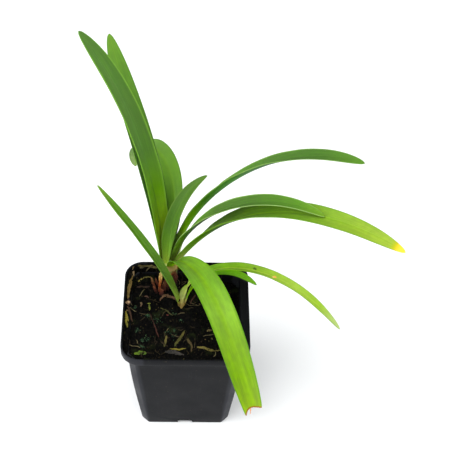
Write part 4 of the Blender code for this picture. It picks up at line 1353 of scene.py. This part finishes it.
# %% Dry sheath
Flap = namedtuple("Flap", "root tip width root_share paleness")
FLAPS = (
    Flap((-0.0190, 0.0235, 0.0860), (-0.0182, 0.0280, 0.1036), 0.0031, 0.10, 1.00),
    Flap((-0.0196, 0.0214, 0.0860), (-0.0192, 0.0262, 0.0930), 0.0024, 0.60, 0.28),
    Flap((-0.0208, 0.0235, 0.0860), (-0.0258, 0.0300, 0.0946), 0.0026, 0.35, 0.12),
    Flap((-0.0200, 0.0262, 0.0858), (-0.0226, 0.0306, 0.0926), 0.0026, 0.60, 0.02),
    Flap((-0.0152, 0.0252, 0.0852), (-0.0146, 0.0292, 0.0936), 0.0046, 0.80, 0.00),
    Flap((-0.0172, 0.0236, 0.0855), (-0.0163, 0.0280, 0.0916), 0.0040, 0.80, 0.05),
    Flap((-0.0184, 0.0190, 0.0858), (-0.0188, 0.0235, 0.0892), 0.0050, 0.80, 0.00),
    Flap((-0.0216, 0.0216, 0.0860), (-0.0240, 0.0252, 0.0898), 0.0036, 0.70, 0.00),
    Flap((-0.0163, 0.0330, 0.0850), (-0.0190, 0.0345, 0.0950), 0.0046, 0.60, 0.05),
    Flap((-0.0150, 0.0362, 0.0850), (-0.0170, 0.0380, 0.0940), 0.0046, 0.60, 0.08),
    Flap((-0.0113, 0.0276, 0.0985), (-0.0113, 0.0279, 0.1050), 0.0016, 0.90, 0.85),
    Flap((-0.0097, 0.0274, 0.0995), (-0.0096, 0.0278, 0.1052), 0.0038, 0.80, 0.30),
    Flap((-0.0084, 0.0284, 0.0872), (-0.0084, 0.0288, 0.1030), 0.0032, 0.80, 0.00),
)
FLAP_COLUMNS = 10
FLAP_ROWS = 30
FLAP_WALL = 0.0004
FLAP_FIBRE_WIDTH = 0.0005
FLAP_TIP_HALF = 0.00012


def model_flap(number, flap):
    """A torn strip between its root and its tip, bowed away from the shoot and curled round it."""
    root, tip = np.array(flap.root), np.array(flap.tip)
    away = np.array([*(root[:2] - MAIN.foot), 0.0])
    away /= np.linalg.norm(away)
    rise = tip - root
    beside = np.cross(rise, away)
    beside /= np.linalg.norm(beside)
    t = np.linspace(0, 1, FLAP_ROWS + 1)[:, None]
    side = np.linspace(-1, 1, FLAP_COLUMNS + 1)[None, :]
    grain = noise_at(number * 3.3, t * 5.0, side * 1.8)
    fine = noise_at(number * 7.1, t * 16.0, side * 4.0)
    open_up = flap.root_share + (1 - flap.root_share) * soft(0, 0.75, t)
    half = flap.width / 2 * open_up * (1 - t**5) ** 0.8 + FLAP_TIP_HALF
    out = half * side * (1 + 0.7 * grain + 0.4 * fine)
    bow = 0.08 * np.linalg.norm(rise) * np.sin(pi * t) - 0.5 * half * side**2 + 0.0007 * grain + 0.0003 * fine
    climb = t * (1 + 0.16 * fine * t)
    places = root + rise * climb[..., None] + beside * out[..., None] + away * bow[..., None]
    paleness = np.full(FLAP_ROWS + 1, flap.paleness)
    return sheet(f"flap_{number}", places, FLAP_WALL, t[:, 0], margin=0.6, paleness=paleness)


def papery_sheath():
    tissue, tree, shader = new_material("papery_dead_sheath", roughness=0.75, ior=1.4, specular=0.25)
    spot = add(tree, "TexCoord").outputs["Object"]
    rise = add(tree, "SeparateXYZ", {0: add(tree, "UVMap").outputs["UV"]}).outputs["Y"]
    brown = [(0.0, "#120906"), (1.0, "#7A4A2E"), (0.35, "#34150D"), (0.7, "#4E2416")]
    brown = add(tree, "ValToRGB", {"Fac": rise}, stops=brown).outputs[0]
    straw = [(0.0, "#5A2210"), (1.0, "#B4A860"), (0.35, "#8A3C16"), (0.60, "#A0622E"), (0.85, "#BAA45A")]
    straw = add(tree, "ValToRGB", {"Fac": rise}, stops=straw).outputs[0]
    pale = add(tree, "Attribute", attribute_name="paleness").outputs["Fac"]
    colour = stained(tree, brown, straw, pale, (0.0, 1.0), (0.0, 1.0))
    drawn = add(tree, "Mapping", {"Vector": spot, "Scale": (1.0, 1.0, 0.12)}).outputs[0]
    grainy(tree, shader, colour, drawn, FLAP_FIBRE_WIDTH, (0.5, 1.3), 0.0003)
    return tissue


flaps = join([model_flap(number, flap) for number, flap in enumerate(FLAPS)], "dry_sheath_flaps")
hand_over(flaps, papery_sheath(), "dry_sheath", "dry_sheath")
